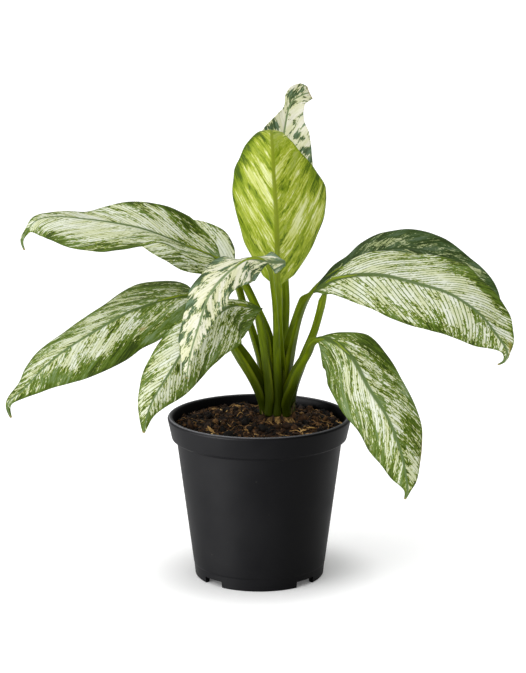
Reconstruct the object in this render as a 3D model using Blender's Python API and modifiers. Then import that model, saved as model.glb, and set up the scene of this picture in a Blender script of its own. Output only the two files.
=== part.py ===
"""A variegated peace lily in its black nursery pot, built as separate solids.

The frame is in metres with +Z up. The origin lies on the axis of the pot, in
the plane that the pot stands on, and -Y is the front. The pot, the soil, the
crown with its root stubs, ten leaf blades and ten leaf stalks are one object
each. The numbers in the leaf tables are millimetres and degrees.
"""

import math
from typing import NamedTuple

import bmesh
import bpy
import numpy as np
from mathutils import Matrix, Vector

MM = 0.001

# Pot
POT_HEIGHT = 107.0
RIM_RADIUS = 60.0
RIM_BAND_RADIUS = 57.0
RIM_BAND_DEPTH = 13.0
RIM_INNER_RADIUS = 56.6
BODY_TOP_RADIUS = 54.2
BODY_BASE_RADIUS = 42.3
WALL = 1.5
FLOOR_UNDERSIDE = 5.4
FLOOR_TOP = 7.2
FOOT_RING_INNER_RADIUS = 38.8
POT_STEPS = 48

# Notches in the foot ring and drain holes in the floor
NOTCH_WIDTH = 15.0
NOTCH_HEIGHT = 4.3
NOTCH_ANGLES = (45, 135, 225, 315)
DRAIN_HOLE_RADIUS = 4.0
DRAIN_CIRCLE_RADIUS = 30.0
CENTRE_HOLE_RADIUS = 5.0
NOTCH_CUTTER_DEPTH = 12.0
DRAIN_CUTTER_LENGTH = 8.0

# Soil
SOIL_GAP = 0.4
SOIL_EDGE_HEIGHT = 101.0
SOIL_CROWN_HEIGHT = 106.4
SOIL_STEPS = 36

# Crown and root stubs
CROWN_CENTRE = (11.8, 4.0, 103.5)
CROWN_RADII = (12.5, 10.0, 6.5)
PIT_CLEARANCE = 0.35
ROOT_AZIMUTHS = (-158, -128, -102, -76, -50, -22, 40, 95, 150)
ROOT_RISE = 4.4
ROOT_DROP = 12.0
ROOT_LENGTH = 17.0
ROOT_RADIUS = 1.5

# Leaves
BLADE_THICKNESS = 0.8
CELLS_ACROSS_HALF = 2
LONGEST_CELL = 10.0
HEADING_REACH = 9.0
STALK_SEAT = 0.35
STALK_POINTS = 12
STALK_SIDES_LEVEL = 2


class Station(NamedTuple):
    """One place along a blade: the midrib, the widths of the two halves and how far they lean back."""

    x: float
    y: float
    z: float
    right: float
    left: float
    lean_right: float
    lean_left: float


class Leaf(NamedTuple):
    """A leaf: its colour, the face it shows, the curl of its halves, its stalk and its blade."""

    colour: str
    face: tuple
    curl: tuple
    root: tuple
    stalk: tuple
    stalk_radii: tuple
    blade: tuple


# The right half is on the right hand when the face is seen and the tip points up.
LEAVES = {
    "top": Leaf(
        colour="8fa83c",
        face=(0, -0.64, 0.77),
        curl=(20, 20),
        root=(14.8, 4.2),
        stalk=((14.2, 4.2, 126), (13, 2, 150), (12, -1, 170), (11.5, -3, 184), (11.5, -4, 192)),
        stalk_radii=(2.4, 2.6, 2.4),
        blade=(
            Station(11.5, -4, 192, 6, 6, 15, 15),
            Station(11.5, -7, 205, 19, 15, 20, 20),
            Station(11.5, -10, 220, 31, 24, 22, 22),
            Station(11, -12, 236, 39, 28, 22, 22),
            Station(10, -12, 253, 41, 31, 22, 22),
            Station(9, -10, 269, 33, 30, 22, 22),
            Station(8.5, -7, 281, 22, 24, 20, 20),
            Station(8, -2, 289, 14, 18, 12, 12),
            Station(8, 6, 292.5, 9, 12, 10, 10),
            Station(8.5, 15, 290.5, 5, 6, 0, 0),
            Station(9, 22, 286, 0.8, 0.8, 0, 0),
        ),
    ),
    "crest": Leaf(
        colour="dfe0b8",
        face=(0, -1, 0.2),
        curl=(-15, -15),
        root=(12, 9.4),
        stalk=((14.2, 14.5, 124), (16, 22, 152), (17.5, 29, 178), (16.5, 33, 194), (16.5, 34, 202)),
        stalk_radii=(2.4, 2.2, 1.7),
        blade=(
            Station(16.5, 34, 202, 2, 2, -10, -10),
            Station(15.5, 36, 220, 12, 12, -10, -10),
            Station(14.5, 39, 239, 19.5, 18.5, -10, -10),
            Station(14, 42, 259, 22.5, 20.5, -10, -10),
            Station(14.5, 44, 275, 21, 18.5, -10, -10),
            Station(16.5, 46, 288, 17.5, 13.5, -10, -10),
            Station(18, 47, 296.5, 12, 7, 0, 0),
            Station(19.5, 48, 302.5, 10.5, 3.5, 0, 0),
            Station(22, 49, 307, 9.5, 6.5, 0, 0),
            Station(26, 51, 309.5, 6, 8.5, 0, 0),
            Station(30, 54, 311, 3, 7, 0, 0),
            Station(33.5, 58, 312, 0.8, 1.5, 0, 0),
        ),
    ),
    "far_left": Leaf(
        colour="c9cdb0",
        face=(0, -1, 0.1),
        curl=(-12, 10),
        root=(9.2, 4.2),
        stalk=(
            (9, 6, 122),
            (7, 6.5, 142),
            (4.5, 6.5, 160),
            (-1, 6.5, 174),
            (-7.5, 6, 188),
            (-14, 6, 198.5),
            (-19.5, 6, 204.5),
            (-23.5, 6, 206.5),
        ),
        stalk_radii=(2.4, 2.6, 1.8),
        blade=(
            Station(-23.5, 6, 206.5, 2, 2, 50, -55),
            Station(-30.5, 4, 211.5, 11, 8, 50, -60),
            Station(-39, 2, 215.5, 17.5, 13.5, 50, -68),
            Station(-49.5, 0, 220, 23, 15.5, 48, -75),
            Station(-62, -2, 225.5, 23.5, 16, 46, -84),
            Station(-73.5, -3, 230, 22, 19.5, 46, -64),
            Station(-85, -4, 233, 20, 24, 50, -58),
            Station(-99.5, -4, 235.5, 16, 27, 62, -52),
            Station(-115.5, -4, 237.5, 12, 26, 76, -50),
            Station(-133.5, -3, 238, 7.5, 20, 76, -50),
            Station(-144, -3, 234.5, 5, 14, 60, -50),
            Station(-148.5, -3, 229, 2, 2.5, 40, -40),
            Station(-152, -3, 223, 1, 1.2, 20, -20),
            Station(-150.5, -3, 216.5, 0.6, 0.6, 0, 0),
        ),
    ),
    "behind_left": Leaf(
        colour="a9b392",
        face=(0, -1, 0.1),
        curl=(-10, 10),
        root=(6.5, 9.4),
        stalk=(
            (3, 13, 124),
            (0.5, 15, 139),
            (-3.5, 16, 153.5),
            (-7.5, 17, 166.5),
            (-12, 18, 180),
            (-15, 18.5, 190),
            (-18, 20, 198),
        ),
        stalk_radii=(2.4, 2.0, 1.6),
        blade=(
            Station(-18, 20, 198, 2, 2, 40, -40),
            Station(-29, 30, 203, 18, 14, 40, -45),
            Station(-40.5, 38, 208, 25, 19.5, 42, -48),
            Station(-52.5, 45, 212, 23, 17.5, 44, -50),
            Station(-65, 51, 214, 17.5, 13.5, 46, -50),
            Station(-78.5, 56, 216, 10, 7, 46, -50),
            Station(-95, 61, 217, 0.8, 0.8, 40, -40),
        ),
    ),
    "mid_left": Leaf(
        colour="98a883",
        face=(0, -1, 0.1),
        curl=(0, 25),
        root=(3.8, 3.8),
        stalk=(
            (-2, 3, 125.5),
            (-8.5, 2, 138.5),
            (-16, 2, 151),
            (-24, 3, 165),
            (-31, 5, 177),
            (-34.5, 6.2, 181.5),
            (-37.0, 6.8, 183.2),
        ),
        stalk_radii=(2.4, 3.5, 1.8),
        blade=(
            Station(-38.5, 6, 183.5, 2.5, 2.5, 50, -30),
            Station(-47, 4, 185, 15, 15, 62, -25),
            Station(-60.5, 2, 183.5, 23.5, 20, 62, -20),
            Station(-74.5, 1, 179, 28, 24.5, 62, -20),
            Station(-86, -1, 175, 25.5, 25.5, 62, -20),
            Station(-99, -3, 168, 22, 27, 62, -20),
            Station(-112, -5, 160.5, 21.5, 26, 62, -20),
            Station(-124.5, -7, 152.5, 18.5, 23.5, 60, -20),
            Station(-135, -9, 144.5, 19, 19, 58, -20),
            Station(-146, -11, 133.5, 16, 11, 56, -20),
            Station(-154.5, -12, 125, 8, 5, 54, -20),
            Station(-162.5, -13, 117.5, 2, 2.5, 40, -20),
            Station(-160.5, -14, 108.5, 0.7, 0.7, 0, 0),
        ),
    ),
    "low_left": Leaf(
        colour="b9c2a2",
        face=(0, -1, 0.3),
        curl=(20, 20),
        root=(6.5, -1),
        stalk=((5.8, -2.5, 127.5), (4, -4.5, 143.5), (2, -6.5, 158), (-0.5, -9.5, 171), (-2.8, -12.3, 178.9)),
        stalk_radii=(2.4, 2.6, 1.8),
        blade=(
            Station(2, -12, 180, 0.8, 1.5, 20, 0),
            Station(-2.5, -15, 181.5, 2, 13, 20, 0),
            Station(-8, -18, 183, 4, 20, 20, -5),
            Station(-13.5, -22, 184.5, 5.5, 23, 28, 0),
            Station(-19.5, -27, 184, 10, 24, 28, 0),
            Station(-28, -33, 179, 17, 25, 25, 10),
            Station(-36.5, -39, 171, 17.5, 23, 20, 15),
            Station(-46, -45, 161.5, 17.5, 22.5, 15, 20),
            Station(-57, -52, 145.5, 17, 19, 15, 20),
            Station(-66, -58, 131.5, 11.5, 10.5, 15, 15),
            Station(-70, -61, 121, 6, 4, 15, 15),
            Station(-72, -62, 111, 0.7, 0.7, 0, 0),
        ),
    ),
    "twisted": Leaf(
        colour="ccd0ab",
        face=(0, -1, 0.3),
        curl=(0, 0),
        root=(11.8, -1.5),
        stalk=(
            (11.2, -4.5, 131),
            (10.8, -9, 152),
            (10.5, -15, 173),
            (9.5, -22, 189),
            (8, -30, 202),
            (7, -34.6, 208.4),
        ),
        stalk_radii=(2.4, 1.9, 1.5),
        blade=(
            Station(16.5, -30, 213.5, 5, 10, 40, 20),
            Station(12.5, -33, 214, 10, 8.5, 40, 20),
            Station(8, -36, 214.5, 8.5, 3.5, 55, 20),
            Station(5.5, -38, 215.5, 9.5, 2.5, 68, 20),
            Station(-0.5, -41, 217, 9.5, 14, 75, 20),
            Station(-7, -44, 218, 12, 14.5, 80, 10),
            Station(-13, -47, 215, 20, 14, 58, 0),
            Station(-20, -51, 210, 18, 11.5, 45, 0),
            Station(-25.5, -54, 204.5, 14, 10.5, 30, 0),
            Station(-31, -57, 197, 14.5, 12.5, 25, 10),
            Station(-34.5, -59, 188, 12, 9.5, 20, 15),
            Station(-37.5, -60, 178, 11.5, 7, 20, 15),
            Station(-40.5, -60, 168.5, 11, 5.5, 20, 15),
            Station(-43, -60, 158.5, 7, 2, 20, 10),
            Station(-45, -58, 145, 0.6, 0.6, 0, 0),
        ),
    ),
    "upper_right": Leaf(
        colour="4a6139",
        face=(0, -1, 0.1),
        curl=(10, -12),
        root=(17.3, 9.4),
        stalk=(
            (17.8, 8, 128.5),
            (20, 8.2, 145),
            (22.5, 9, 157),
            (25.5, 11, 168),
            (29, 13, 177),
            (33, 15, 184),
            (36.5, 16, 188),
        ),
        stalk_radii=(2.4, 3.3, 1.5),
        blade=(
            Station(36.5, 16, 188, 1.2, 1.2, -30, 45),
            Station(43, 19, 194, 1.5, 2, -40, 45),
            Station(50, 22, 198.5, 2, 4, -45, 45),
            Station(61, 26, 203, 8.5, 7.5, -50, 50),
            Station(73, 32, 207.5, 20, 12.5, -50, 50),
            Station(87.5, 37, 210.5, 26, 15.5, -50, 50),
            Station(104.5, 42, 209.5, 28, 17, -50, 50),
            Station(120, 46, 204, 26, 17, -50, 50),
            Station(135.5, 49, 194, 20, 14.5, -45, 50),
            Station(148, 51, 181.5, 12.5, 13, -40, 45),
            Station(157.5, 52, 167.5, 6, 6, -20, 20),
            Station(161, 52, 158, 0.7, 0.7, 0, 0),
        ),
    ),
    "broad_right": Leaf(
        colour="c3caa6",
        face=(0, -1, 0.1),
        curl=(15, -12),
        root=(20.0, 4.2),
        stalk=(
            (23.3, 3.8, 126),
            (27.8, 2.5, 139),
            (31.5, 1.5, 150),
            (35.5, 0.5, 161),
            (39, -0.4, 173),
            (41, -1, 181),
            (41.9, -1.3, 186.5),
        ),
        stalk_radii=(2.4, 2.3, 1.7),
        blade=(
            Station(35, 0, 188.5, 3, 1.5, -20, 40),
            Station(38.5, -1, 191.5, 5.5, 1.5, -30, 40),
            Station(43.5, -3, 195, 8, 2, -30, 45),
            Station(49, -5, 198, 12.5, 4, -30, 50),
            Station(62, -7, 201, 19.5, 15, -30, 52),
            Station(76.5, -9, 201.5, 24, 21, -30, 52),
            Station(91, -11, 199, 27.5, 24.5, -30, 52),
            Station(105, -13, 195.5, 28.5, 27, -30, 50),
            Station(120, -15, 191, 28, 28, -30, 48),
            Station(132.5, -17, 184, 25, 23, -28, 45),
            Station(142, -18, 176.5, 22, 21, -25, 45),
            Station(149, -19, 168, 17, 18, -20, 40),
            Station(155, -20, 160, 9, 10, -15, 30),
            Station(158.5, -21, 152, 3, 1.5, 0, 0),
            Station(156.5, -21, 147.5, 1, 1, 0, 0),
            Station(152.5, -22, 145.5, 0.6, 0.6, 0, 0),
        ),
    ),
    "low_right": Leaf(
        colour="8fa07c",
        face=(0, -1, 0.3),
        curl=(20, 20),
        root=(17.2, -1),
        stalk=(
            (18.5, -4, 119),
            (22, -7, 128.5),
            (25, -10, 138),
            (29, -13, 146.5),
            (32.5, -16.5, 154),
            (34.8, -19.1, 159.5),
        ),
        stalk_radii=(2.4, 2.9, 2.0),
        blade=(
            Station(36, -20, 162.5, 1.5, 1, 15, 15),
            Station(38.5, -22, 163, 11, 1.5, 15, 15),
            Station(43, -25, 163, 20, 4, 15, 15),
            Station(48, -28, 161.5, 20, 10, 15, 20),
            Station(55, -33, 157, 22.5, 21, 15, 20),
            Station(60.5, -38, 151, 24, 23, 15, 20),
            Station(64.5, -42, 144, 24, 25, 15, 20),
            Station(69, -46, 136, 24, 25.5, 15, 20),
            Station(78.5, -52, 122, 22.5, 24, 15, 20),
            Station(85.5, -57, 107.5, 21, 21.5, 15, 20),
            Station(90.5, -60, 91, 14.5, 14, 15, 20),
            Station(92.5, -61, 80, 9, 8, 15, 15),
            Station(93, -62, 73, 2, 2, 0, 0),
            Station(91.5, -62, 68, 0.6, 0.6, 0, 0),
        ),
    ),
}

POT_COLOUR = "1b1c1e"
SOIL_COLOUR = "2a1f17"
CROWN_COLOUR = "7a5a38"
STALK_COLOUR = "5a7418"


def clear_scene():
    """Removes every object, so that the model starts from nothing."""
    for item in list(bpy.data.objects):
        bpy.data.objects.remove(item, do_unlink=True)


def new_collection(name, hidden=False):
    """A collection in the scene, left out of renders if it only holds helpers."""
    made = bpy.data.collections.new(name)
    made.hide_render = hidden
    bpy.context.scene.collection.children.link(made)
    return made


def material(name, colour, roughness, specular=0.5):
    """A Principled material of an sRGB hex colour."""
    made = bpy.data.materials.new(name)
    made.use_nodes = True
    shader = made.node_tree.nodes["Principled BSDF"]
    channels = [int(colour[i : i + 2], 16) / 255 for i in (0, 2, 4)]
    linear = [c / 12.92 if c <= 0.04045 else ((c + 0.055) / 1.055) ** 2.4 for c in channels]
    shader.inputs["Base Color"].default_value = (*linear, 1.0)
    shader.inputs["Roughness"].default_value = roughness
    shader.inputs["Metallic"].default_value = 0.0
    shader.inputs["Specular IOR Level"].default_value = specular
    return made


def new_object(name, data, collection, look=None, at=(0.0, 0.0, 0.0)):
    """An object of this data at a place in millimetres."""
    made = bpy.data.objects.new(name, data)
    made.location = Vector(at) * MM
    collection.objects.link(made)
    if look:
        data.materials.append(look)
    return made


def shade(mesh, angle=40):
    """Smooth shading with sharp edges above the angle in degrees."""
    mesh.shade_smooth()
    mesh.set_sharp_from_angle(angle=math.radians(angle))


def as_helper(item):
    """Marks an object as a cutter or a guide."""
    item.hide_render = True
    item.display_type = "WIRE"


def turned(name, profile, steps, collection, look):
    """A solid turned about Z from pairs of radius and height in millimetres, the first and last on the axis."""
    mesh = bpy.data.meshes.new(name)
    points = [(radius * MM, 0.0, height * MM) for radius, height in profile]
    edges = [(i, i + 1) for i in range(len(points) - 1)]
    mesh.from_pydata(points, edges, [])
    item = new_object(name, mesh, collection, look)
    screw = item.modifiers.new("turn", "SCREW")
    screw.axis = "Z"
    screw.angle = 2 * math.pi
    screw.steps = steps
    screw.render_steps = steps
    screw.use_merge_vertices = True
    screw.merge_threshold = 0.00001
    screw.use_smooth_shade = True
    return item


def cut(item, name, operation="DIFFERENCE", other=None, collection=None):
    """A Boolean with one object or with a collection."""
    modifier = item.modifiers.new(name, "BOOLEAN")
    modifier.operation = operation
    modifier.solver = "EXACT"
    if collection:
        modifier.operand_type = "COLLECTION"
        modifier.collection = collection
    else:
        modifier.object = other
    return modifier


def body_radius(height):
    """Outer radius of the tapered body of the pot at a height."""
    share = height / (POT_HEIGHT - RIM_BAND_DEPTH)
    return BODY_BASE_RADIUS + (BODY_TOP_RADIUS - BODY_BASE_RADIUS) * share


def pot_profile():
    """The pot's section: along the inner floor, up the inner wall, over the lip and down the outside."""
    band = POT_HEIGHT - RIM_BAND_DEPTH
    inner_floor = body_radius(FLOOR_TOP) - WALL
    return (
        (0.0, FLOOR_TOP),
        (inner_floor - 1.6, FLOOR_TOP),
        (inner_floor + 0.1, FLOOR_TOP + 1.4),
        (body_radius(band - 2) - WALL, band - 2),
        (RIM_BAND_RADIUS - 2.4, band + 0.5),
        (RIM_INNER_RADIUS - 0.4, POT_HEIGHT - 2.6),
        (RIM_INNER_RADIUS, POT_HEIGHT - 0.9),
        (RIM_INNER_RADIUS + 0.9, POT_HEIGHT - 0.2),
        (RIM_INNER_RADIUS + 1.9, POT_HEIGHT),
        (RIM_RADIUS - 0.6, POT_HEIGHT - 0.5),
        (RIM_RADIUS, POT_HEIGHT - 1.6),
        (RIM_BAND_RADIUS + 0.2, band + 0.6),
        (RIM_BAND_RADIUS - 0.5, band),
        (BODY_TOP_RADIUS + 0.3, band - 0.4),
        (body_radius(band - 1.4), band - 1.4),
        (body_radius(9.0), 9.0),
        (body_radius(8.2) - 0.4, 8.2),
        (BODY_BASE_RADIUS + 0.1, 0.6),
        (BODY_BASE_RADIUS - 0.4, 0.0),
        (FOOT_RING_INNER_RADIUS + 0.3, 0.0),
        (FOOT_RING_INNER_RADIUS, FLOOR_UNDERSIDE),
        (0.0, FLOOR_UNDERSIDE),
    )


def soil_profile():
    """The soil's section: from the crown of the mound outwards, down along the wall and back to the axis."""
    band = POT_HEIGHT - RIM_BAND_DEPTH
    inner_floor = body_radius(FLOOR_TOP) - WALL
    return (
        (0.0, SOIL_CROWN_HEIGHT),
        (14.0, SOIL_CROWN_HEIGHT - 0.2),
        (27.0, SOIL_CROWN_HEIGHT - 1.4),
        (40.0, SOIL_CROWN_HEIGHT - 3.2),
        (50.0, SOIL_EDGE_HEIGHT + 0.7),
        (RIM_BAND_RADIUS - 2.4, SOIL_EDGE_HEIGHT),
        (RIM_BAND_RADIUS - 2.4 + 0.1, SOIL_EDGE_HEIGHT - 1.6),
        (RIM_BAND_RADIUS - 2.4 - SOIL_GAP, band + 0.7),
        (body_radius(band - 2) - WALL - SOIL_GAP, band - 2),
        (inner_floor + 0.1 - SOIL_GAP, FLOOR_TOP + 1.6),
        (inner_floor - 1.8, FLOOR_TOP + SOIL_GAP),
        (0.0, FLOOR_TOP + SOIL_GAP),
    )


def box_cutter(name, size, at, turn, collection):
    """A box that cuts, turned about Z by an angle in degrees."""
    mesh = bpy.data.meshes.new(name)
    shape = bmesh.new()
    bmesh.ops.create_cube(shape, size=1.0, matrix=Matrix.Diagonal((*(s * MM for s in size), 1.0)))
    shape.to_mesh(mesh)
    shape.free()
    item = new_object(name, mesh, collection, at=at)
    item.rotation_euler.z = math.radians(turn)
    as_helper(item)
    return item


def round_cutter(name, radius, length, at, collection):
    """An upright cylinder that cuts."""
    mesh = bpy.data.meshes.new(name)
    shape = bmesh.new()
    bmesh.ops.create_cone(
        shape, cap_ends=True, segments=20, radius1=radius * MM, radius2=radius * MM, depth=length * MM
    )
    shape.to_mesh(mesh)
    shape.free()
    item = new_object(name, mesh, collection, at=at)
    as_helper(item)
    return item


def make_pot(parts, notches):
    """The pot with its foot notches and drain holes."""
    pot = turned("pot", pot_profile(), POT_STEPS, parts, material("black polypropylene", POT_COLOUR, 0.45))
    ring = (BODY_BASE_RADIUS + FOOT_RING_INNER_RADIUS) / 2
    mid_floor = Vector((0.0, 0.0, (FLOOR_UNDERSIDE + FLOOR_TOP) / 2))
    for number, angle in enumerate(NOTCH_ANGLES):
        direction = Vector((math.cos(math.radians(angle)), math.sin(math.radians(angle)), 0.0))
        notch = (NOTCH_CUTTER_DEPTH, NOTCH_WIDTH, 2 * NOTCH_HEIGHT)
        box_cutter(f"notch_cutter_{number}", notch, direction * ring, angle, notches)
        spot = direction * DRAIN_CIRCLE_RADIUS + mid_floor
        round_cutter(f"drain_cutter_{number}", DRAIN_HOLE_RADIUS, DRAIN_CUTTER_LENGTH, spot, notches)
    round_cutter("centre_drain_cutter", CENTRE_HOLE_RADIUS, DRAIN_CUTTER_LENGTH, mid_floor, notches)
    cut(pot, "notches and drain holes", collection=notches)
    return pot


def crown_body(name, grow, collection, look=None):
    """The domed crown as a stretched sphere, grown by a clearance where it serves as the pit's cutter."""
    mesh = bpy.data.meshes.new(name)
    shape = bmesh.new()
    radii = [(radius + grow) * MM for radius in CROWN_RADII]
    bmesh.ops.create_uvsphere(
        shape, u_segments=20, v_segments=12, radius=1.0, matrix=Matrix.Diagonal((*radii, 1.0))
    )
    shape.to_mesh(mesh)
    shape.free()
    shade(mesh)
    return new_object(name, mesh, collection, look, CROWN_CENTRE)


def root_stub(name, azimuth, grow, collection):
    """A stub of root that leaves the crown outwards and dips into the soil."""
    mesh = bpy.data.meshes.new(name)
    shape = bmesh.new()
    length = (ROOT_LENGTH + grow) * MM
    bmesh.ops.create_cone(
        shape,
        cap_ends=True,
        segments=8,
        radius1=(ROOT_RADIUS + grow) * MM,
        radius2=(0.7 * ROOT_RADIUS + grow) * MM,
        depth=length,
        matrix=Matrix.Translation((0.0, 0.0, length / 2)),
    )
    shape.to_mesh(mesh)
    shape.free()
    start = Vector(CROWN_CENTRE) + Vector((0.0, 0.0, ROOT_RISE))
    item = new_object(name, mesh, collection, at=start)
    item.rotation_euler = (0.0, math.radians(90 + ROOT_DROP), math.radians(azimuth))
    as_helper(item)
    return item


def make_soil_and_crown(parts, roots, pit):
    """The soil mound with a pit that fits the crown, and the crown joined with its root stubs."""
    soil = turned("soil", soil_profile(), SOIL_STEPS, parts, material("potting soil", SOIL_COLOUR, 0.95))
    crown = crown_body("crown", 0.0, parts, material("root crown", CROWN_COLOUR, 0.8))
    as_helper(crown_body("crown_pit_cutter", PIT_CLEARANCE, pit))
    for number, azimuth in enumerate(ROOT_AZIMUTHS):
        root_stub(f"root_{number}", azimuth, 0.0, roots)
        root_stub(f"root_pit_cutter_{number}", azimuth, PIT_CLEARANCE, pit)
    cut(crown, "root stubs", "UNION", collection=roots)
    cut(soil, "crown pit", collection=pit)
    return soil, crown


def spline_slopes(knots, values):
    """Slopes at the knots of the natural cubic spline through the values."""
    count = len(knots)
    steps = np.diff(knots)
    chords = np.diff(values, axis=0) / steps[:, None]
    system = np.zeros((count, count))
    wanted = np.zeros_like(values)
    system[0, :2] = (2.0, 1.0)
    system[-1, -2:] = (1.0, 2.0)
    wanted[0] = 3 * chords[0]
    wanted[-1] = 3 * chords[-1]
    for i in range(1, count - 1):
        system[i, i - 1 : i + 2] = (steps[i], 2 * (steps[i - 1] + steps[i]), steps[i - 1])
        wanted[i] = 3 * (steps[i] * chords[i - 1] + steps[i - 1] * chords[i])
    return np.linalg.solve(system, wanted)


def steady_slopes(knots, values):
    """Slopes that keep a smooth curve between its neighbouring values, so that no width overshoots."""
    chords = np.diff(values, axis=0) / np.diff(knots)[:, None]
    before = chords[:-1]
    after = chords[1:]
    same_way = before * after > 0
    total = np.where(same_way, before + after, 1.0)
    inner = np.where(same_way, 2 * before * after / total, 0.0)
    return np.vstack([chords[:1], inner, chords[-1:]])


def read_curve(knots, values, slopes, wanted):
    """Places on the cubic pieces through the values with these slopes."""
    piece = np.clip(np.searchsorted(knots, wanted, side="right") - 1, 0, len(knots) - 2)
    step = (knots[piece + 1] - knots[piece])[:, None]
    t = (wanted - knots[piece])[:, None] / step
    first = values[piece]
    last = values[piece + 1]
    start = slopes[piece] * step
    end = slopes[piece + 1] * step
    return (
        (2 * t**3 - 3 * t**2 + 1) * first
        + (t**3 - 2 * t**2 + t) * start
        + (3 * t**2 - 2 * t**3) * last
        + (t**3 - t**2) * end
    )


def chord_knots(points):
    """Distances along the straight lines between points."""
    return np.concatenate([[0.0], np.cumsum(np.linalg.norm(np.diff(points, axis=0), axis=1))])


def unit(vectors):
    """Vectors of length one."""
    return vectors / np.linalg.norm(vectors, axis=-1, keepdims=True)


def rows_along(knots):
    """Places along a blade: its stations, with more between those that lie far apart."""
    places = [0.0]
    for start, end in zip(knots[:-1], knots[1:]):
        pieces = max(1, math.ceil((end - start) / LONGEST_CELL))
        places.extend(start + (end - start) * (i + 1) / pieces for i in range(pieces))
    return np.array(places)


def blade_points(leaf, along, across):
    """Points of a blade in millimetres.

    Each half is an arc in the plane square to the midrib's general heading.
    It starts at its lean, turns by its curl, and is as long as its width.

    Args:
        leaf: the leaf's table.
        along: distances from the base, one for each row.
        across: from -1 at the left edge to 1 at the right edge.
    """
    table = np.array(leaf.blade, dtype=float)
    knots = chord_knots(table[:, :3])
    slopes = spline_slopes(knots, table[:, :3])
    middle = read_curve(knots, table[:, :3], slopes, along)
    ahead = read_curve(knots, table[:, :3], slopes, np.minimum(along + HEADING_REACH, knots[-1]))
    behind = read_curve(knots, table[:, :3], slopes, np.maximum(along - HEADING_REACH, 0.0))
    heading = unit(ahead - behind)
    shape = read_curve(knots, table[:, 3:], steady_slopes(knots, table[:, 3:]), along)
    side = unit(np.cross(heading, np.array(leaf.face, dtype=float)))
    out = unit(np.cross(side, heading))
    on_right = across >= 0
    width = np.where(on_right, shape[:, 0:1], shape[:, 1:2])
    lean = np.radians(np.where(on_right, shape[:, 2:3], shape[:, 3:4]))
    curl = np.radians(np.where(on_right, leaf.curl[0], leaf.curl[1]))
    curl = np.where(np.abs(curl) < 0.001, 0.001, curl)
    share = np.abs(across)
    end = lean + curl * share
    reach = width * (np.sin(end) - np.sin(lean)) / curl
    drop = width * (np.cos(lean) - np.cos(end)) / curl
    reach = np.where(on_right, reach, -reach)
    return middle[:, None, :] + reach[:, :, None] * side[:, None, :] - drop[:, :, None] * out[:, None, :]


def make_blade(name, leaf, parts, plant):
    """A leaf blade: a grid bent along the midrib and given its thickness."""
    table = np.array(leaf.blade, dtype=float)
    along = rows_along(chord_knots(table[:, :3]))
    across = np.linspace(-1.0, 1.0, 2 * CELLS_ACROSS_HALF + 1)[None, :]
    points = blade_points(leaf, along, across)
    base = table[0, :3]
    rows, columns = points.shape[:2]
    mesh = bpy.data.meshes.new(f"{name}_blade")
    shape = bmesh.new()
    bmesh.ops.create_grid(shape, x_segments=columns - 1, y_segments=rows - 1, size=1.0)
    for vertex in shape.verts:
        column = round((vertex.co.x + 1) / 2 * (columns - 1))
        row = round((vertex.co.y + 1) / 2 * (rows - 1))
        vertex.co = Vector(points[row, column] - base) * MM
    shape.to_mesh(mesh)
    shape.free()
    mesh.shade_smooth()
    look = material(f"{name} blade", leaf.colour, 0.5)
    blade = new_object(f"{name}_blade", mesh, parts, look)
    blade.parent = plant
    blade.location = Vector(base) * MM - plant.location
    shell = blade.modifiers.new("thickness", "SOLIDIFY")
    shell.thickness = BLADE_THICKNESS * MM
    shell.offset = 0.0
    return blade


def crown_seat(leaf, heading):
    """The point just above the crown where a stalk stands, set back so that its tilted end clears the dome."""
    centre = np.array(CROWN_CENTRE)
    radii = np.array(CROWN_RADII)
    flat = (np.array(leaf.root) - centre[:2]) / radii[:2]
    height = math.sqrt(max(0.0, 1 - float(flat @ flat)))
    spot = centre + radii * np.array([flat[0], flat[1], height])
    normal = unit((spot - centre) / radii**2)
    tilt = math.sqrt(max(0.0, 1 - float(normal @ heading) ** 2))
    return spot + normal * (STALK_SEAT + leaf.stalk_radii[0] * tilt)


def end_clearance(leaf, route):
    """How far short of the blade's base a stalk ends. A stalk routed to end behind the blade keeps its length."""
    blade = np.array([station[:3] for station in leaf.blade[:2]], dtype=float)
    if np.linalg.norm(route[-1] - blade[0]) > 0.1:
        return 0.0
    alignment = float(unit(route[-1] - route[-2]) @ unit(blade[1] - blade[0]))
    return STALK_SEAT + leaf.stalk_radii[-1] * math.sqrt(max(0.0, 1 - alignment**2))


def make_stalk(name, leaf, parts, plant):
    """A leaf stalk: a round tube that swells a little and thins towards the blade."""
    route = np.array(leaf.stalk, dtype=float)
    toward = unit(route[0] - np.array([*leaf.root, CROWN_CENTRE[2] + CROWN_RADII[2]]))
    route = np.vstack([crown_seat(leaf, toward), route])
    knots = chord_knots(route)
    last = knots[-1] - end_clearance(leaf, route)
    places = read_curve(knots, route, spline_slopes(knots, route), np.linspace(0.0, last, STALK_POINTS))
    radii = np.interp(np.linspace(0.0, 1.0, STALK_POINTS), (0.0, 0.45, 1.0), leaf.stalk_radii)
    curve = bpy.data.curves.new(f"{name}_stalk", "CURVE")
    curve.dimensions = "3D"
    curve.bevel_depth = MM
    curve.bevel_resolution = STALK_SIDES_LEVEL
    curve.use_fill_caps = True
    line = curve.splines.new("POLY")
    line.points.add(STALK_POINTS - 1)
    for point, place, radius in zip(line.points, places, radii):
        point.co = (*(Vector(place - places[0]) * MM), 1.0)
        point.radius = radius
    line.use_smooth = True
    stalk = new_object(f"{name}_stalk", curve, parts, material(f"{name} stalk", STALK_COLOUR, 0.45))
    stalk.parent = plant
    stalk.location = Vector(places[0]) * MM - plant.location
    return stalk


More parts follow.
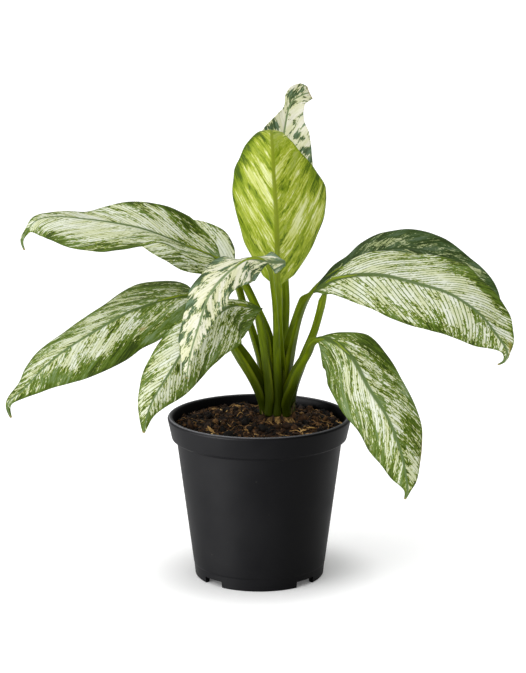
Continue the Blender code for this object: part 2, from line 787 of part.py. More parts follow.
def main():
    clear_scene()
    parts = new_collection("potted_peace_lily")
    notches = new_collection("pot_cutters", hidden=True)
    roots = new_collection("crown_roots", hidden=True)
    pit = new_collection("crown_pit_cutters", hidden=True)
    stand = new_object("potted_peace_lily", None, parts)
    plant = new_object("plant", None, parts, at=CROWN_CENTRE)
    plant.parent = stand
    pot = make_pot(parts, notches)
    soil, crown = make_soil_and_crown(parts, roots, pit)
    for item in (pot, soil):
        item.parent = stand
    crown.parent = plant
    crown.location = (0.0, 0.0, 0.0)
    for name, leaf in LEAVES.items():
        make_blade(name, leaf, parts, plant)
        make_stalk(name, leaf, parts, plant)


main()
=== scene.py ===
"""The looks of a variegated peace lily in its black nursery pot.

Every new piece is a surface worked out with numpy and stands for the solid of
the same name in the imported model. Sizes in the tables are millimetres and
degrees, and meshes are in metres. The front is -Y and +Z is up.
"""

import logging
import math
from dataclasses import dataclass, field
from enum import Enum
from typing import Any, Callable, Optional, Sequence

import bpy
import numpy as np
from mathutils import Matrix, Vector


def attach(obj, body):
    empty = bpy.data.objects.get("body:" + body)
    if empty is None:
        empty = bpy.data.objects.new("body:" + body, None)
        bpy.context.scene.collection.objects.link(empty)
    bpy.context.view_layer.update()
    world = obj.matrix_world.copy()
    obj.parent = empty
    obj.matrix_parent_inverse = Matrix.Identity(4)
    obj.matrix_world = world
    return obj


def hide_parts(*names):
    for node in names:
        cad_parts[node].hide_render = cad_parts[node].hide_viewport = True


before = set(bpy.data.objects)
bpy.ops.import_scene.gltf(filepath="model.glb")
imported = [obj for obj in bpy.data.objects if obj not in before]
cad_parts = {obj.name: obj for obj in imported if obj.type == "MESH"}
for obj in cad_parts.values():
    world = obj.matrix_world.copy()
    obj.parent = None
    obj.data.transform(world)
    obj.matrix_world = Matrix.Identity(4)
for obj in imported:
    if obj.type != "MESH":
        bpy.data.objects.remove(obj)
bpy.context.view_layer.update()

MM = 0.001
BODY = "root"
VEIN_SPACING = 4.0
Array = np.ndarray
log = logging.getLogger("potted plant")


# Curves and noise


def unit(vectors: Array) -> Array:
    """Vectors of length one."""
    return vectors / np.maximum(np.linalg.norm(vectors, axis=-1, keepdims=True), 1e-12)


def chord_knots(points: Array) -> Array:
    """Distances along the straight lines between points."""
    return np.concatenate([[0.0], np.cumsum(np.linalg.norm(np.diff(points, axis=0), axis=1))])


def spline_slopes(knots: Array, values: Array) -> Array:
    """Slopes at the knots of the natural cubic spline.

    Args:
        knots: rising distances.
        values: one row of numbers for each knot.

    Returns:
        Slopes that make neighbouring cubics share their second derivative.
    """
    count = len(knots)
    steps = np.diff(knots)
    chords = np.diff(values, axis=0) / steps[:, None]
    system = np.zeros((count, count))
    wanted = np.zeros_like(values)
    inner = np.arange(1, count - 1)
    system[0, :2] = (2.0, 1.0)
    system[-1, -2:] = (1.0, 2.0)
    wanted[0] = 3 * chords[0]
    wanted[-1] = 3 * chords[-1]
    system[inner, inner - 1] = steps[1:]
    system[inner, inner] = 2 * (steps[:-1] + steps[1:])
    system[inner, inner + 1] = steps[:-1]
    wanted[inner] = 3 * (steps[1:, None] * chords[:-1] + steps[:-1, None] * chords[1:])
    return np.linalg.solve(system, wanted)


def steady_slopes(knots: Array, values: Array) -> Array:
    """Slopes that never overshoot: the harmonic mean of the two chords, or zero where they turn back.

    Args:
        knots: rising distances.
        values: one row of numbers for each knot.

    Returns:
        One row of slopes for each knot.
    """
    chords = np.diff(values, axis=0) / np.diff(knots)[:, None]
    before, after = chords[:-1], chords[1:]
    same_way = before * after > 0
    total = np.where(same_way, before + after, 1.0)
    inner = np.where(same_way, 2 * before * after / total, 0.0)
    return np.vstack([chords[:1], inner, chords[-1:]])


def read_curve(knots: Array, values: Array, slopes: Array, wanted: Array) -> Array:
    """Reads the cubic pieces that pass through the values with these slopes.

    Args:
        knots: rising distances.
        values: one row of numbers for each knot.
        slopes: one row of slopes for each knot.
        wanted: the distances to read.

    Returns:
        One row of numbers for each wanted distance.
    """
    piece = np.clip(np.searchsorted(knots, wanted, side="right") - 1, 0, len(knots) - 2)
    step = (knots[piece + 1] - knots[piece])[:, None]
    t = (wanted - knots[piece])[:, None] / step
    return (
        (2 * t**3 - 3 * t**2 + 1) * values[piece]
        + (t**3 - 2 * t**2 + t) * slopes[piece] * step
        + (3 * t**2 - 2 * t**3) * values[piece + 1]
        + (t**3 - t**2) * slopes[piece + 1] * step
    )


def ease(low: float, high: float, values: Array) -> Array:
    """Rises smoothly from zero at low to one at high."""
    t = np.clip((values - low) / (high - low), 0.0, 1.0)
    return t * t * (3 - 2 * t)


def scatter(whole: Array, seed: int) -> Array:
    """A number from 0 to 1 for each row of whole numbers, the same on every run.

    Args:
        whole: whole numbers with three in each row.
        seed: picks another set of numbers.

    Returns:
        One number for each row.
    """
    keys = whole.astype(np.int64).astype(np.uint64)
    mixed = (
        keys[..., 0] * np.uint64(73856093)
        ^ keys[..., 1] * np.uint64(19349663)
        ^ keys[..., 2] * np.uint64(83492791)
        ^ np.uint64(seed * 2654435761 % 2**32)
    )
    mixed = (mixed ^ (mixed >> np.uint64(13))) * np.uint64(1274126177)
    mixed = mixed ^ (mixed >> np.uint64(16))
    return (mixed & np.uint64(0xFFFFFF)).astype(float) / 0xFFFFFF


def lumps(points: Array, size: float, seed: int, octaves: int = 1) -> Array:
    """Smooth noise from -1 to 1: values at the corners of cubes, blended inside each cube.

    Args:
        points: places with three numbers each.
        size: the edge of a cube, in the unit of the points.
        seed: picks another pattern.
        octaves: how many finer layers are added, each half as large and half as high.

    Returns:
        One number for each place.
    """
    total = np.zeros(points.shape[:-1])
    height, reach = 1.0, 0.0
    for octave in range(octaves):
        places = points * (2**octave / size)
        low = np.floor(places)
        t = places - low
        t = t * t * (3 - 2 * t)
        layer = np.zeros(points.shape[:-1])
        for corner in np.ndindex(2, 2, 2):
            share = np.prod(np.where(np.array(corner), t, 1 - t), axis=-1)
            layer += share * scatter(low + np.array(corner), seed + 17 * octave)
        total += height * (2 * layer - 1)
        reach += height
        height *= 0.5
    return total / reach


# Meshes


@dataclass
class Surface:
    """The points and faces of one mesh, with what its material reads from them."""

    points: Array
    faces: Array
    uv: Optional[Array] = None
    marks: dict[str, Array] = field(default_factory=dict)
    smooth: bool = True


def grid_faces(rows: int, columns: int, closed: bool) -> Array:
    """Quads between the points of a grid that is stored row after row.

    Args:
        rows: number of rows.
        columns: points in each row.
        closed: whether the last column joins the first.

    Returns:
        Four point numbers for each quad.
    """
    row, column = np.meshgrid(np.arange(rows - 1), np.arange(columns if closed else columns - 1), indexing="ij")
    after = (column + 1) % columns
    corners = [row * columns + column, row * columns + after, (row + 1) * columns + after, (row + 1) * columns + column]
    return np.stack([c.reshape(-1) for c in corners], axis=1)


def outward(surface: Surface) -> Surface:
    """Turns the faces of a closed surface outwards: the volume of its cones to the origin has to be positive."""
    corners = surface.points[surface.faces]
    volume = np.einsum("ij,ij->i", corners[:, 0], np.cross(corners[:, 1], corners[:, 2])).sum()
    if surface.faces.shape[1] == 4:
        volume += np.einsum("ij,ij->i", corners[:, 0], np.cross(corners[:, 2], corners[:, 3])).sum()
    if volume < 0:
        surface.faces = surface.faces[:, ::-1].copy()
    return surface


def merged(surfaces: Sequence[Surface]) -> Surface:
    """Joins surfaces with the same kind of faces and the same marks into one."""
    starts = np.cumsum([0] + [len(s.points) for s in surfaces[:-1]])
    return Surface(
        points=np.vstack([s.points for s in surfaces]),
        faces=np.vstack([s.faces + start for s, start in zip(surfaces, starts)]),
        uv=None if surfaces[0].uv is None else np.vstack([s.uv for s in surfaces]),
        marks={k: np.concatenate([s.marks[k] for s in surfaces]) for k in surfaces[0].marks},
    )


def tube(rings: Array, uv: Optional[Array] = None, marks: Optional[dict[str, Array]] = None) -> Surface:
    """A closed tube from rings of points, with a point at each end that closes it.

    Args:
        rings: points by ring, by place round the ring, in millimetres.
        uv: two numbers for each point of the rings.
        marks: one number for each point of the rings, by name.

    Returns:
        The surface in metres with its faces pointing outwards.
    """
    count, around = rings.shape[:2]
    ends = np.array([rings[0].mean(axis=0), rings[-1].mean(axis=0)])
    points = np.vstack([rings.reshape(-1, 3), ends])
    here = np.arange(around)
    after = (here + 1) % around
    last = (count - 1) * around
    first_cap = np.stack([after, here, np.full(around, count * around), np.full(around, count * around)], axis=1)
    last_cap = np.stack([last + here, last + after, np.full(around, count * around + 1)] , axis=1)
    last_cap = np.column_stack([last_cap, last_cap[:, 2]])
    faces = np.vstack([grid_faces(count, around, True), first_cap, last_cap])

    def with_ends(values: Array) -> Array:
        """The values with those of the two end points added."""
        return np.concatenate([values.reshape(count * around, -1), values[0].reshape(around, -1).mean(0)[None],
                               values[-1].reshape(around, -1).mean(0)[None]])

    made = Surface(points * MM, faces, None if uv is None else with_ends(uv))
    made.marks = {k: with_ends(v).reshape(-1) for k, v in (marks or {}).items()}
    return outward(made)


def mesh_of(name: str, surface: Surface) -> bpy.types.Mesh:
    """A mesh from a surface. A quad whose last two points are the same becomes a triangle.

    Args:
        name: the name of the mesh.
        surface: its points in metres, faces, uv and marks.

    Returns:
        The mesh, smooth-shaded when the surface asks for it.
    """
    mesh = bpy.data.meshes.new(name)
    faces = surface.faces
    if faces.shape[1] == 4:
        same = np.array([faces[:, i] == faces[:, (i + 1) % 4] for i in range(4)]).T
        keep = ~same
    else:
        keep = np.ones(faces.shape, dtype=bool)
    sizes = keep.sum(axis=1)
    corners = faces[keep]
    starts = np.concatenate([[0], np.cumsum(sizes)[:-1]])
    mesh.vertices.add(len(surface.points))
    mesh.vertices.foreach_set("co", surface.points.astype(np.float32).reshape(-1))
    mesh.loops.add(len(corners))
    mesh.loops.foreach_set("vertex_index", corners.astype(np.int32))
    mesh.polygons.add(len(sizes))
    mesh.polygons.foreach_set("loop_start", starts.astype(np.int32))
    mesh.update(calc_edges=True)
    mesh.validate()
    if surface.uv is not None:
        layer = mesh.uv_layers.new(name="veins")
        index = np.empty(len(mesh.loops), np.int32)
        mesh.loops.foreach_get("vertex_index", index)
        layer.data.foreach_set("uv", surface.uv[index].astype(np.float32).reshape(-1))
    for mark, values in surface.marks.items():
        attribute = mesh.attributes.new(mark, "FLOAT", "POINT")
        attribute.data.foreach_set("value", values.astype(np.float32))
    if surface.smooth:
        mesh.shade_smooth()
    return mesh


def piece(name: str, surface: Surface, look: bpy.types.Material, node: str, slot: str) -> bpy.types.Object:
    """Puts a finished piece into the scene, on its body and in place of its solid.

    Args:
        name: the name of the piece.
        surface: its surface.
        look: its material.
        node: the solid that it stands for, or an empty text.
        slot: not used.

    Returns:
        The object.
    """
    made = bpy.data.objects.new(name, mesh_of(name, surface))
    bpy.context.scene.collection.objects.link(made)
    made.data.materials.append(look)
    settle(made, node)
    return made


def settle(made: bpy.types.Object, node: str) -> None:
    """Rides a finished object on the body, hides its solid, and reports it."""
    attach(made, BODY)
    if node:
        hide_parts(node)
    log.info("%s: %d points, %d faces", made.name, len(made.data.vertices), len(made.data.polygons))


# Materials


def linear(colour: str) -> tuple[float, float, float, float]:
    """A linear colour from an sRGB hex value."""
    channels = [int(colour[i : i + 2], 16) / 255 for i in (0, 2, 4)]
    return (*(c / 12.92 if c <= 0.04045 else ((c + 0.055) / 1.055) ** 2.4 for c in channels), 1.0)


class Shading:
    """A node material that is built up one node at a time."""

    def __init__(self, name: str) -> None:
        """Starts a material with a plain Principled shader."""
        self.material = bpy.data.materials.new(name)
        self.material.use_nodes = True
        self.tree = self.material.node_tree

    def put(self, socket: bpy.types.NodeSocket, value: Any) -> None:
        """Links a socket to another, or sets it to a number, a vector or a hex colour.

        Args:
            socket: the input.
            value: what it gets.
        """
        if isinstance(value, bpy.types.NodeSocket):
            self.tree.links.new(value, socket)
        else:
            socket.default_value = linear(value) if isinstance(value, str) else value

    def add(
        self,
        kind: str,
        inputs: Optional[dict[Any, Any]] = None,
        out: Any = 0,
        stops: Sequence[tuple[float, str]] = (),
        **settings: Any,
    ) -> bpy.types.NodeSocket:
        """Adds a node with its settings and links.

        Args:
            kind: the node's type without its prefix.
            inputs: values, hex colours or sockets, by input name or number.
            out: the name or number of the output that is wanted.
            stops: places and hex colours of a colour ramp, from low to high.
            **settings: the node's own settings.

        Returns:
            The wanted output.
        """
        node = self.tree.nodes.new("ShaderNode" + kind)
        for key, value in settings.items():
            setattr(node, key, value)
        for number, (place, colour) in enumerate(stops):
            elements = node.color_ramp.elements
            element = elements[number] if number < 2 else elements.new(place)
            element.position = place
            element.color = linear(colour)
        for key, value in (inputs or {}).items():
            self.put(node.inputs[key], value)
        return node.outputs[out]

    def washed(self, skin: Any, washes: Sequence[tuple[Any, float, float, float, Any]]) -> bpy.types.NodeSocket:
        """Lays thin colours over a skin, one after another.

        Args:
            skin: the colour below, as a socket or a hex value.
            washes: for each, its mask, the mask's values where it begins and where it is full, its strength
                and its colour.

        Returns:
            The colour on top.
        """
        for mask, low, high, strength, colour in washes:
            inputs = {0: mask, 1: low, 2: high, 3: 0.0, 4: strength}
            share = self.add("MapRange", inputs, interpolation_type="SMOOTHSTEP")
            skin = self.add("Mix", {0: share, 6: skin, 7: colour}, 2, data_type="RGBA")
        return skin

    def weighed(self, start: Any, parts: Sequence[tuple[Any, float]]) -> bpy.types.NodeSocket:
        """Adds patterns to a number, each times its weight and counted from its middle value of a half.

        Args:
            start: the number at the start.
            parts: each pattern with its weight.

        Returns:
            The sum.
        """
        total = self.add("Math", {0: start, 1: -0.5 * sum(weight for _, weight in parts)}, operation="ADD")
        for part, weight in parts:
            total = self.add("Math", {0: part, 1: weight, 2: total}, operation="MULTIPLY_ADD")
        return total

    def finish(self, inputs: dict[str, Any]) -> bpy.types.Material:
        """Sets or links the shader's own inputs.

        Args:
            inputs: values or sockets by the name of the input.

        Returns:
            The material.
        """
        for name, value in inputs.items():
            self.put(self.tree.nodes["Principled BSDF"].inputs[name], value)
        return self.material


@dataclass(frozen=True)
class Grain:
    """One layer of a pattern: its repeats per centimetre along the rib and away from it, and its weight."""

    beside: float
    away: float
    weight: float
    octaves: float = 3.0
    roughness: float = 0.6


@dataclass(frozen=True)
class LeafSkin:
    """Living leaf skin, waxy and satin: streaks of tissue without green between green lateral veins.

    A score decides between green and cream at each point. It adds broad
    patches, streaks, fine streaks and specks, all drawn out along the veins,
    to the bias that the blade carries.
    """

    deep: str = "2f3f0a"
    green: str = "4b6012"
    grey_green: str = "5a702c"
    # the palest green: partly the grey tone of mixed tissue, partly a painted sheen that stands for the leaf's glossy
    # reflection
    grey_tone_and_sheen: str = "74885c"
    fringe: str = "98a444"
    cream: str = "c8cda6"
    white: str = "dadecd"
    vein: str = "5a7020"
    rib: str = "5c7040"
    rib_base: str = "44581a"
    back: str = "7f9266"
    withered: str = "a08a4c"
    broad: Grain = Grain(0.7, 0.7, 0.8, 2.0, 0.5)
    streak: Grain = Grain(1.7, 1.2, 1.6, 4.0, 0.62)
    fine: Grain = Grain(5.0, 4.4, 1.2)
    speck: Grain = Grain(7.0, 12.0, 1.1, 2.0)
    bite: float = 0.06
    gloss: float = 0.4

    def material(self, name: str, seed: int, line_strength: float) -> bpy.types.Material:
        """The material of one blade.

        Args:
            name: the name of the leaf.
            seed: shifts the pattern, so that no two blades match.
            line_strength: how clearly the lateral veins show.

        Returns:
            A satin skin that lets the eye follow the veins from the rib to the edge.
        """
        s = Shading(f"{name} leaf skin")
        veins = s.add("UVMap", out="UV", uv_map="veins")
        shift = (seed * 3.7, seed * 1.9, 0.0)
        place = s.add("Mapping", {"Vector": veins, "Location": shift, "Scale": (2.4, 2.6, 1.0)})
        warp = s.add("TexNoise", {"Vector": place, "Scale": 1.0, "Detail": 4.0}, "Color")
        moved = s.add("VectorMath", {0: warp, 1: (0.36, 0.3, 0.0), 2: veins}, operation="MULTIPLY_ADD")
        layers = []
        for grain in (self.broad, self.streak, self.fine, self.speck, Grain(1.0, 0.9, 1.0)):
            place = s.add("Mapping", {"Vector": moved, "Location": shift, "Scale": (grain.beside, grain.away, 1.0)})
            inputs = {"Vector": place, "Scale": 1.0, "Detail": grain.octaves, "Roughness": grain.roughness}
            layers.append(s.add("TexNoise", inputs, noise_dimensions="2D"))
            shift = (shift[1], shift[0] + 2.3, 0.0)
        broad, streak, fine, speck, tone = layers
        cream, deep, rib, dry, along, under = (
            s.add("Attribute", out="Fac", attribute_name=mark)
            for mark in ("cream", "deep", "rib", "dry", "along", "under")
        )
        across = s.add("SeparateXYZ", {0: veins})
        turn = s.add("Math", {0: across, 1: 20 * math.pi / VEIN_SPACING}, operation="MULTIPLY")
        wave = s.add("Math", {0: turn}, operation="COSINE")
        line = s.add("MapRange", {0: wave, 1: 0.35, 2: 0.95, 3: 0.0, 4: 1.0}, interpolation_type="SMOOTHSTEP")
        line = s.add("MapRange", {0: fine, 1: 0.3, 2: 0.55, 3: 0.0, 4: line}, interpolation_type="SMOOTHSTEP")
        score = s.add("Math", {0: line, 1: -0.28 * line_strength, 2: cream}, operation="MULTIPLY_ADD")
        weights = (self.broad.weight, self.streak.weight, self.fine.weight, self.speck.weight)
        score = s.weighed(score, tuple(zip((broad, streak, fine, speck), weights)))
        depth = s.add("Math", {0: deep, 1: -0.3, 2: tone}, operation="MULTIPLY_ADD")
        depth = s.weighed(depth, ((speck, 0.3), (fine, 0.4)))
        stops = ((0.28, self.deep), (0.42, self.green), (0.54, self.grey_green), (0.72, self.grey_tone_and_sheen))
        greens = s.add("ValToRGB", {0: depth}, stops=stops)
        pale = s.washed(self.cream, ((tone, 0.35, 0.65, 1.0, self.white),))
        rib_tone = s.washed(self.rib_base, ((along, 0.12, 0.45, 1.0, self.rib),))
        skin = s.washed(
            greens,
            (
                (score, -2.8 * self.bite, 0.3 * self.bite, 1.0, self.fringe),
                (score, -0.3 * self.bite, 1.6 * self.bite, 1.0, pale),
                (line, 0.1, 0.9, line_strength, self.vein),
                (rib, 0.0, 0.8, 0.95, rib_tone),
                (under, 0.0, 1.0, 0.4, self.back),
                (dry, 0.0, 1.0, 1.0, self.withered),
            ),
        )
        relief = s.weighed(0.0, ((streak, 0.5), (fine, 0.3)))
        return s.finish({
            "Base Color": skin,
            "Roughness": s.add("MapRange", {0: tone, 1: 0.3, 2: 0.7, 3: self.gloss - 0.05, 4: self.gloss + 0.1}),
            "Normal": s.add("Bump", {"Strength": 0.35, "Distance": 0.3 * MM, "Height": relief}),
            "Specular IOR Level": 0.16,
            "IOR": 1.45,
        })


@dataclass(frozen=True)
class StalkSkin:
    """Smooth stalk skin: olive, yellower on the thin edges of the sheath, and nearly black-green at the foot, partly
    its own darker olive and partly painted shade where the stalks crowd together over the soil.
    """

    body: str = "566800"
    edge: str = "93a200"
    foot_tone_and_shade: str = "222c00"
    top: str = "738800"
    high: str = "84962c"
    fibre: str = "2f3b08"

    def material(self, name: str, seed: int) -> bpy.types.Material:
        """The material of one stalk, with fibres 1 mm apart that run along it.

        Args:
            name: the name of the leaf.
            seed: shifts the pattern.

        Returns:
            A satin skin whose light runs down the stalk in one long band.
        """
        s = Shading(f"{name} stalk skin")
        veins = s.add("UVMap", out="UV", uv_map="veins")
        patterns = []
        for scale in ((9.0, 0.35, 1.0), (1.4, 0.5, 1.0)):
            place = s.add("Mapping", {"Vector": veins, "Location": (seed * 2.3, seed, 0.0), "Scale": scale})
            patterns.append(s.add("TexNoise", {"Vector": place, "Scale": 1.0, "Detail": 3.0}, noise_dimensions="2D"))
        fibre, cloud = patterns
        high, sheath, foot_tone_and_shade = (
            s.add("Attribute", out="Fac", attribute_name=mark) for mark in ("high", "sheath", "foot_tone_and_shade")
        )
        skin = s.washed(
            self.body,
            (
                (cloud, 0.3, 0.7, 1.0, self.top),
                (high, 0.0, 1.0, 1.0, self.high),
                (sheath, 0.0, 1.0, 0.9, self.edge),
                # the foot: partly the stalk's own darker olive, partly painted shade low among the crowded stalks
                (foot_tone_and_shade, 0.0, 1.0, 0.95, self.foot_tone_and_shade),
                (fibre, 0.35, 0.7, 0.35, self.fibre),
            ),
        )
        return s.finish({
            "Base Color": skin,
            "Roughness": s.add("MapRange", {0: cloud, 1: 0.3, 2: 0.7, 3: 0.32, 4: 0.44}),
            "Normal": s.add("Bump", {"Strength": 0.3, "Distance": 0.2 * MM, "Height": fibre}),
            "Specular IOR Level": 0.1,
            "IOR": 1.45,
        })


class Finish(Enum):
    """The looks that leaf blades come in."""

    LIME = LeafSkin(
        deep="425a02", green="6e840a", grey_green="86981e", grey_tone_and_sheen="9ca852", fringe="a4b038", cream="c4cb72",
        white="d6dba0", vein="84961e", rib="76841a", rib_base="6c7a14",
        streak=Grain(1.2, 0.5, 1.5, 4.0, 0.56), fine=Grain(4.2, 1.6, 0.9), speck=Grain(7.0, 8.0, 0.4, 2.0), bite=0.12,
    )
    CREAM = LeafSkin(
        deep="36462a", green="465a38", grey_green="5a7052", grey_tone_and_sheen="768c74", fringe="a0aa66", cream="d2d3ac",
        white="e0decc", vein="84944c", rib="74875a", rib_base="5a6e46",
        broad=Grain(1.5, 1.6, 2.0, 2.0, 0.5), streak=Grain(2.4, 2.2, 1.6, 4.0), fine=Grain(5.0, 5.0, 1.0),
    )
    STREAKED = LeafSkin()
    DARK = LeafSkin(
        deep="26360c", green="34481a", grey_green="40562c", grey_tone_and_sheen="54684a", fringe="7c8c50", cream="a8b27c",
        white="c0c8a0", vein="46592a", rib="364a20", rib_base="364a20",
    )


@dataclass(frozen=True)
class Polypropylene:
    """Black injection-moulded polypropylene: a fine satin skin with a little dust, and a painted highlight along the
    top of the lip.
    """

    colour: str = "040405"
    cloud: str = "0a0a0b"
    lip_highlight: str = "4a4a4c"
    dust: str = "55534f"

    def material(self) -> bpy.types.Material:
        """The pot's material, with dull clouds about 30 mm wide, a moulded grain, dust specks of 0.5 mm and a painted
        highlight along the top of the lip.

        Returns:
            A black that only shows its roundness in soft lights.
        """
        s = Shading("black polypropylene")
        place = s.add("TexCoord", out="Object")
        cloud, grain, rare = (
            s.add("TexNoise", {"Vector": place, "Scale": scale}) for scale in (35.0, 1800.0, 60.0)
        )
        speck = s.add("TexVoronoi", {"Vector": place, "Scale": 210.0})
        near = s.add("MapRange", {0: rare, 1: 0.56, 2: 0.66, 3: 0.0, 4: 0.4}, interpolation_type="SMOOTHSTEP")
        dust = s.add("MapRange", {0: speck, 1: 0.05, 2: 0.09, 3: near, 4: 0.0})
        height = s.add("SeparateXYZ", {0: place}, 2)
        washes = (
            (cloud, 0.3, 0.7, 0.35, self.cloud),
            # painted highlight: a lighter grey band along the top of the lip
            (height, 106.2 * MM, 106.9 * MM, 0.8, self.lip_highlight),
            (dust, 0.0, 1.0, 1.0, self.dust),
        )
        skin = s.washed(self.colour, washes)
        return s.finish({
            "Base Color": skin,
            "Roughness": s.add("MapRange", {0: cloud, 1: 0.3, 2: 0.7, 3: 0.46, 4: 0.56}),
            "Normal": s.add("Bump", {"Strength": 0.12, "Distance": 0.1 * MM, "Height": grain}),
            "Specular IOR Level": 0.07,
            "IOR": 1.49,
        })


@dataclass(frozen=True)
class PottingMix:
    """Moist peat and bark crumbs: red-brown on the crumbs, and almost black in the hollows of the bump, partly dark
    peat and partly painted shade.
    """

    hollow_peat_and_shade: str = "070402"
    peat: str = "33200f"
    crumb: str = "644629"
    straw: str = "a07c4c"

    def material(self) -> bpy.types.Material:
        """The soil's material, with crumbs of 4 mm and grains of 0.8 mm.

        Returns:
            A moist dark skin whose crumbs catch the light.
        """
        s = Shading("moist potting mix")
        place = s.add("TexCoord", out="Object")
        crumb, grain = (
            s.add("TexNoise", {"Vector": place, "Scale": scale, "Detail": 4.0, "Roughness": 0.62})
            for scale in (260.0, 1100.0)
        )
        tone = s.add("Attribute", out="Fac", attribute_name="tone")
        start = s.add("Math", {0: tone, 1: 0.3, 2: 0.5}, operation="MULTIPLY_ADD")
        score = s.weighed(start, ((crumb, 0.65), (grain, 0.35)))
        # the score is also the bump's height, so the darkest colour lies in its hollows: partly dark peat, partly
        # painted shade
        stops = ((0.38, self.hollow_peat_and_shade), (0.6, self.peat), (0.8, self.crumb), (1.0, self.straw))
        return s.finish({
            "Base Color": s.add("ValToRGB", {0: score}, stops=stops),
            "Roughness": s.add("MapRange", {0: grain, 1: 0.3, 2: 0.7, 3: 0.65, 4: 0.95}),
            "Normal": s.add("Bump", {"Strength": 0.8, "Distance": 0.8 * MM, "Height": score}),
            "Specular IOR Level": 0.2,
        })


@dataclass(frozen=True)
class DryFibre:
    """Dry bark, straw and root skin: tan with brown ends."""

    name: str = "dry bark and straw"
    dark: str = "2c1c12"
    brown: str = "6a4828"
    pale: str = "c49a5a"
    bright: str = "e0c08a"

    def material(self) -> bpy.types.Material:
        """The material of the flakes and fibres, with a grain of 1.4 mm and a tone for each by its mark.

        Returns:
            A dull dry skin.
        """
        s = Shading(self.name)
        place = s.add("Mapping", {"Vector": s.add("TexCoord", out="Object"), "Scale": (1.0, 1.0, 0.4)})
        grain = s.add("TexNoise", {"Vector": place, "Scale": 700.0, "Detail": 3.0, "Roughness": 0.6})
        tone = s.add("Attribute", out="Fac", attribute_name="tone")
        start = s.add("Math", {0: tone, 1: 0.5, 2: 0.35}, operation="MULTIPLY_ADD")
        score = s.weighed(start, ((grain, 0.7),))
        stops = ((0.25, self.dark), (0.5, self.brown), (0.75, self.pale), (1.0, self.bright))
        return s.finish({
            "Base Color": s.add("ValToRGB", {0: score}, stops=stops),
            "Roughness": 0.8,
            "Normal": s.add("Bump", {"Strength": 0.5, "Distance": 0.4 * MM, "Height": grain}),
            "Specular IOR Level": 0.3,
        })


# The leaves


@dataclass(frozen=True)
class Patch:
    """A lighter or darker place on a blade, by share of its length and of its half width."""

    along: float
    across: float
    length: float
    width: float
    cream: float = 0.0
    # deep below zero moves the green towards the grey tone and painted sheen
    deep: float = 0.0
    dry: float = 0.0


@dataclass(frozen=True)
class LeafShape:
    """One leaf: its face, the curl of its halves, its stalk and the stations of its blade.

    A station is the midrib's x, y and z, the widths of the right and left
    halves, and the angles by which they lean back from the face.
    """

    face: tuple[float, float, float]
    curl: tuple[float, float]
    root: tuple[float, float]
    stalk: tuple[tuple[float, float, float], ...]
    radii: tuple[float, float, float]
    blade: tuple[tuple[float, ...], ...]
    finish: Finish = Finish.STREAKED
    slot: str = "blade_streaked"
    cream: float = 0.0
    margin: float = 2.5
    rib_width: float = 1.0
    fade: tuple[float, float] = (0.35, 0.35)
    sweep: tuple[float, float] = (1.6, 1.6)
    inner: tuple[float, float, float] = (0.0, 0.0, 1.0)
    wing: tuple[float, float] = (2.4, 0.75)
    wave: float = 0.8
    line: float = 0.45
    patches: tuple[Patch, ...] = ()


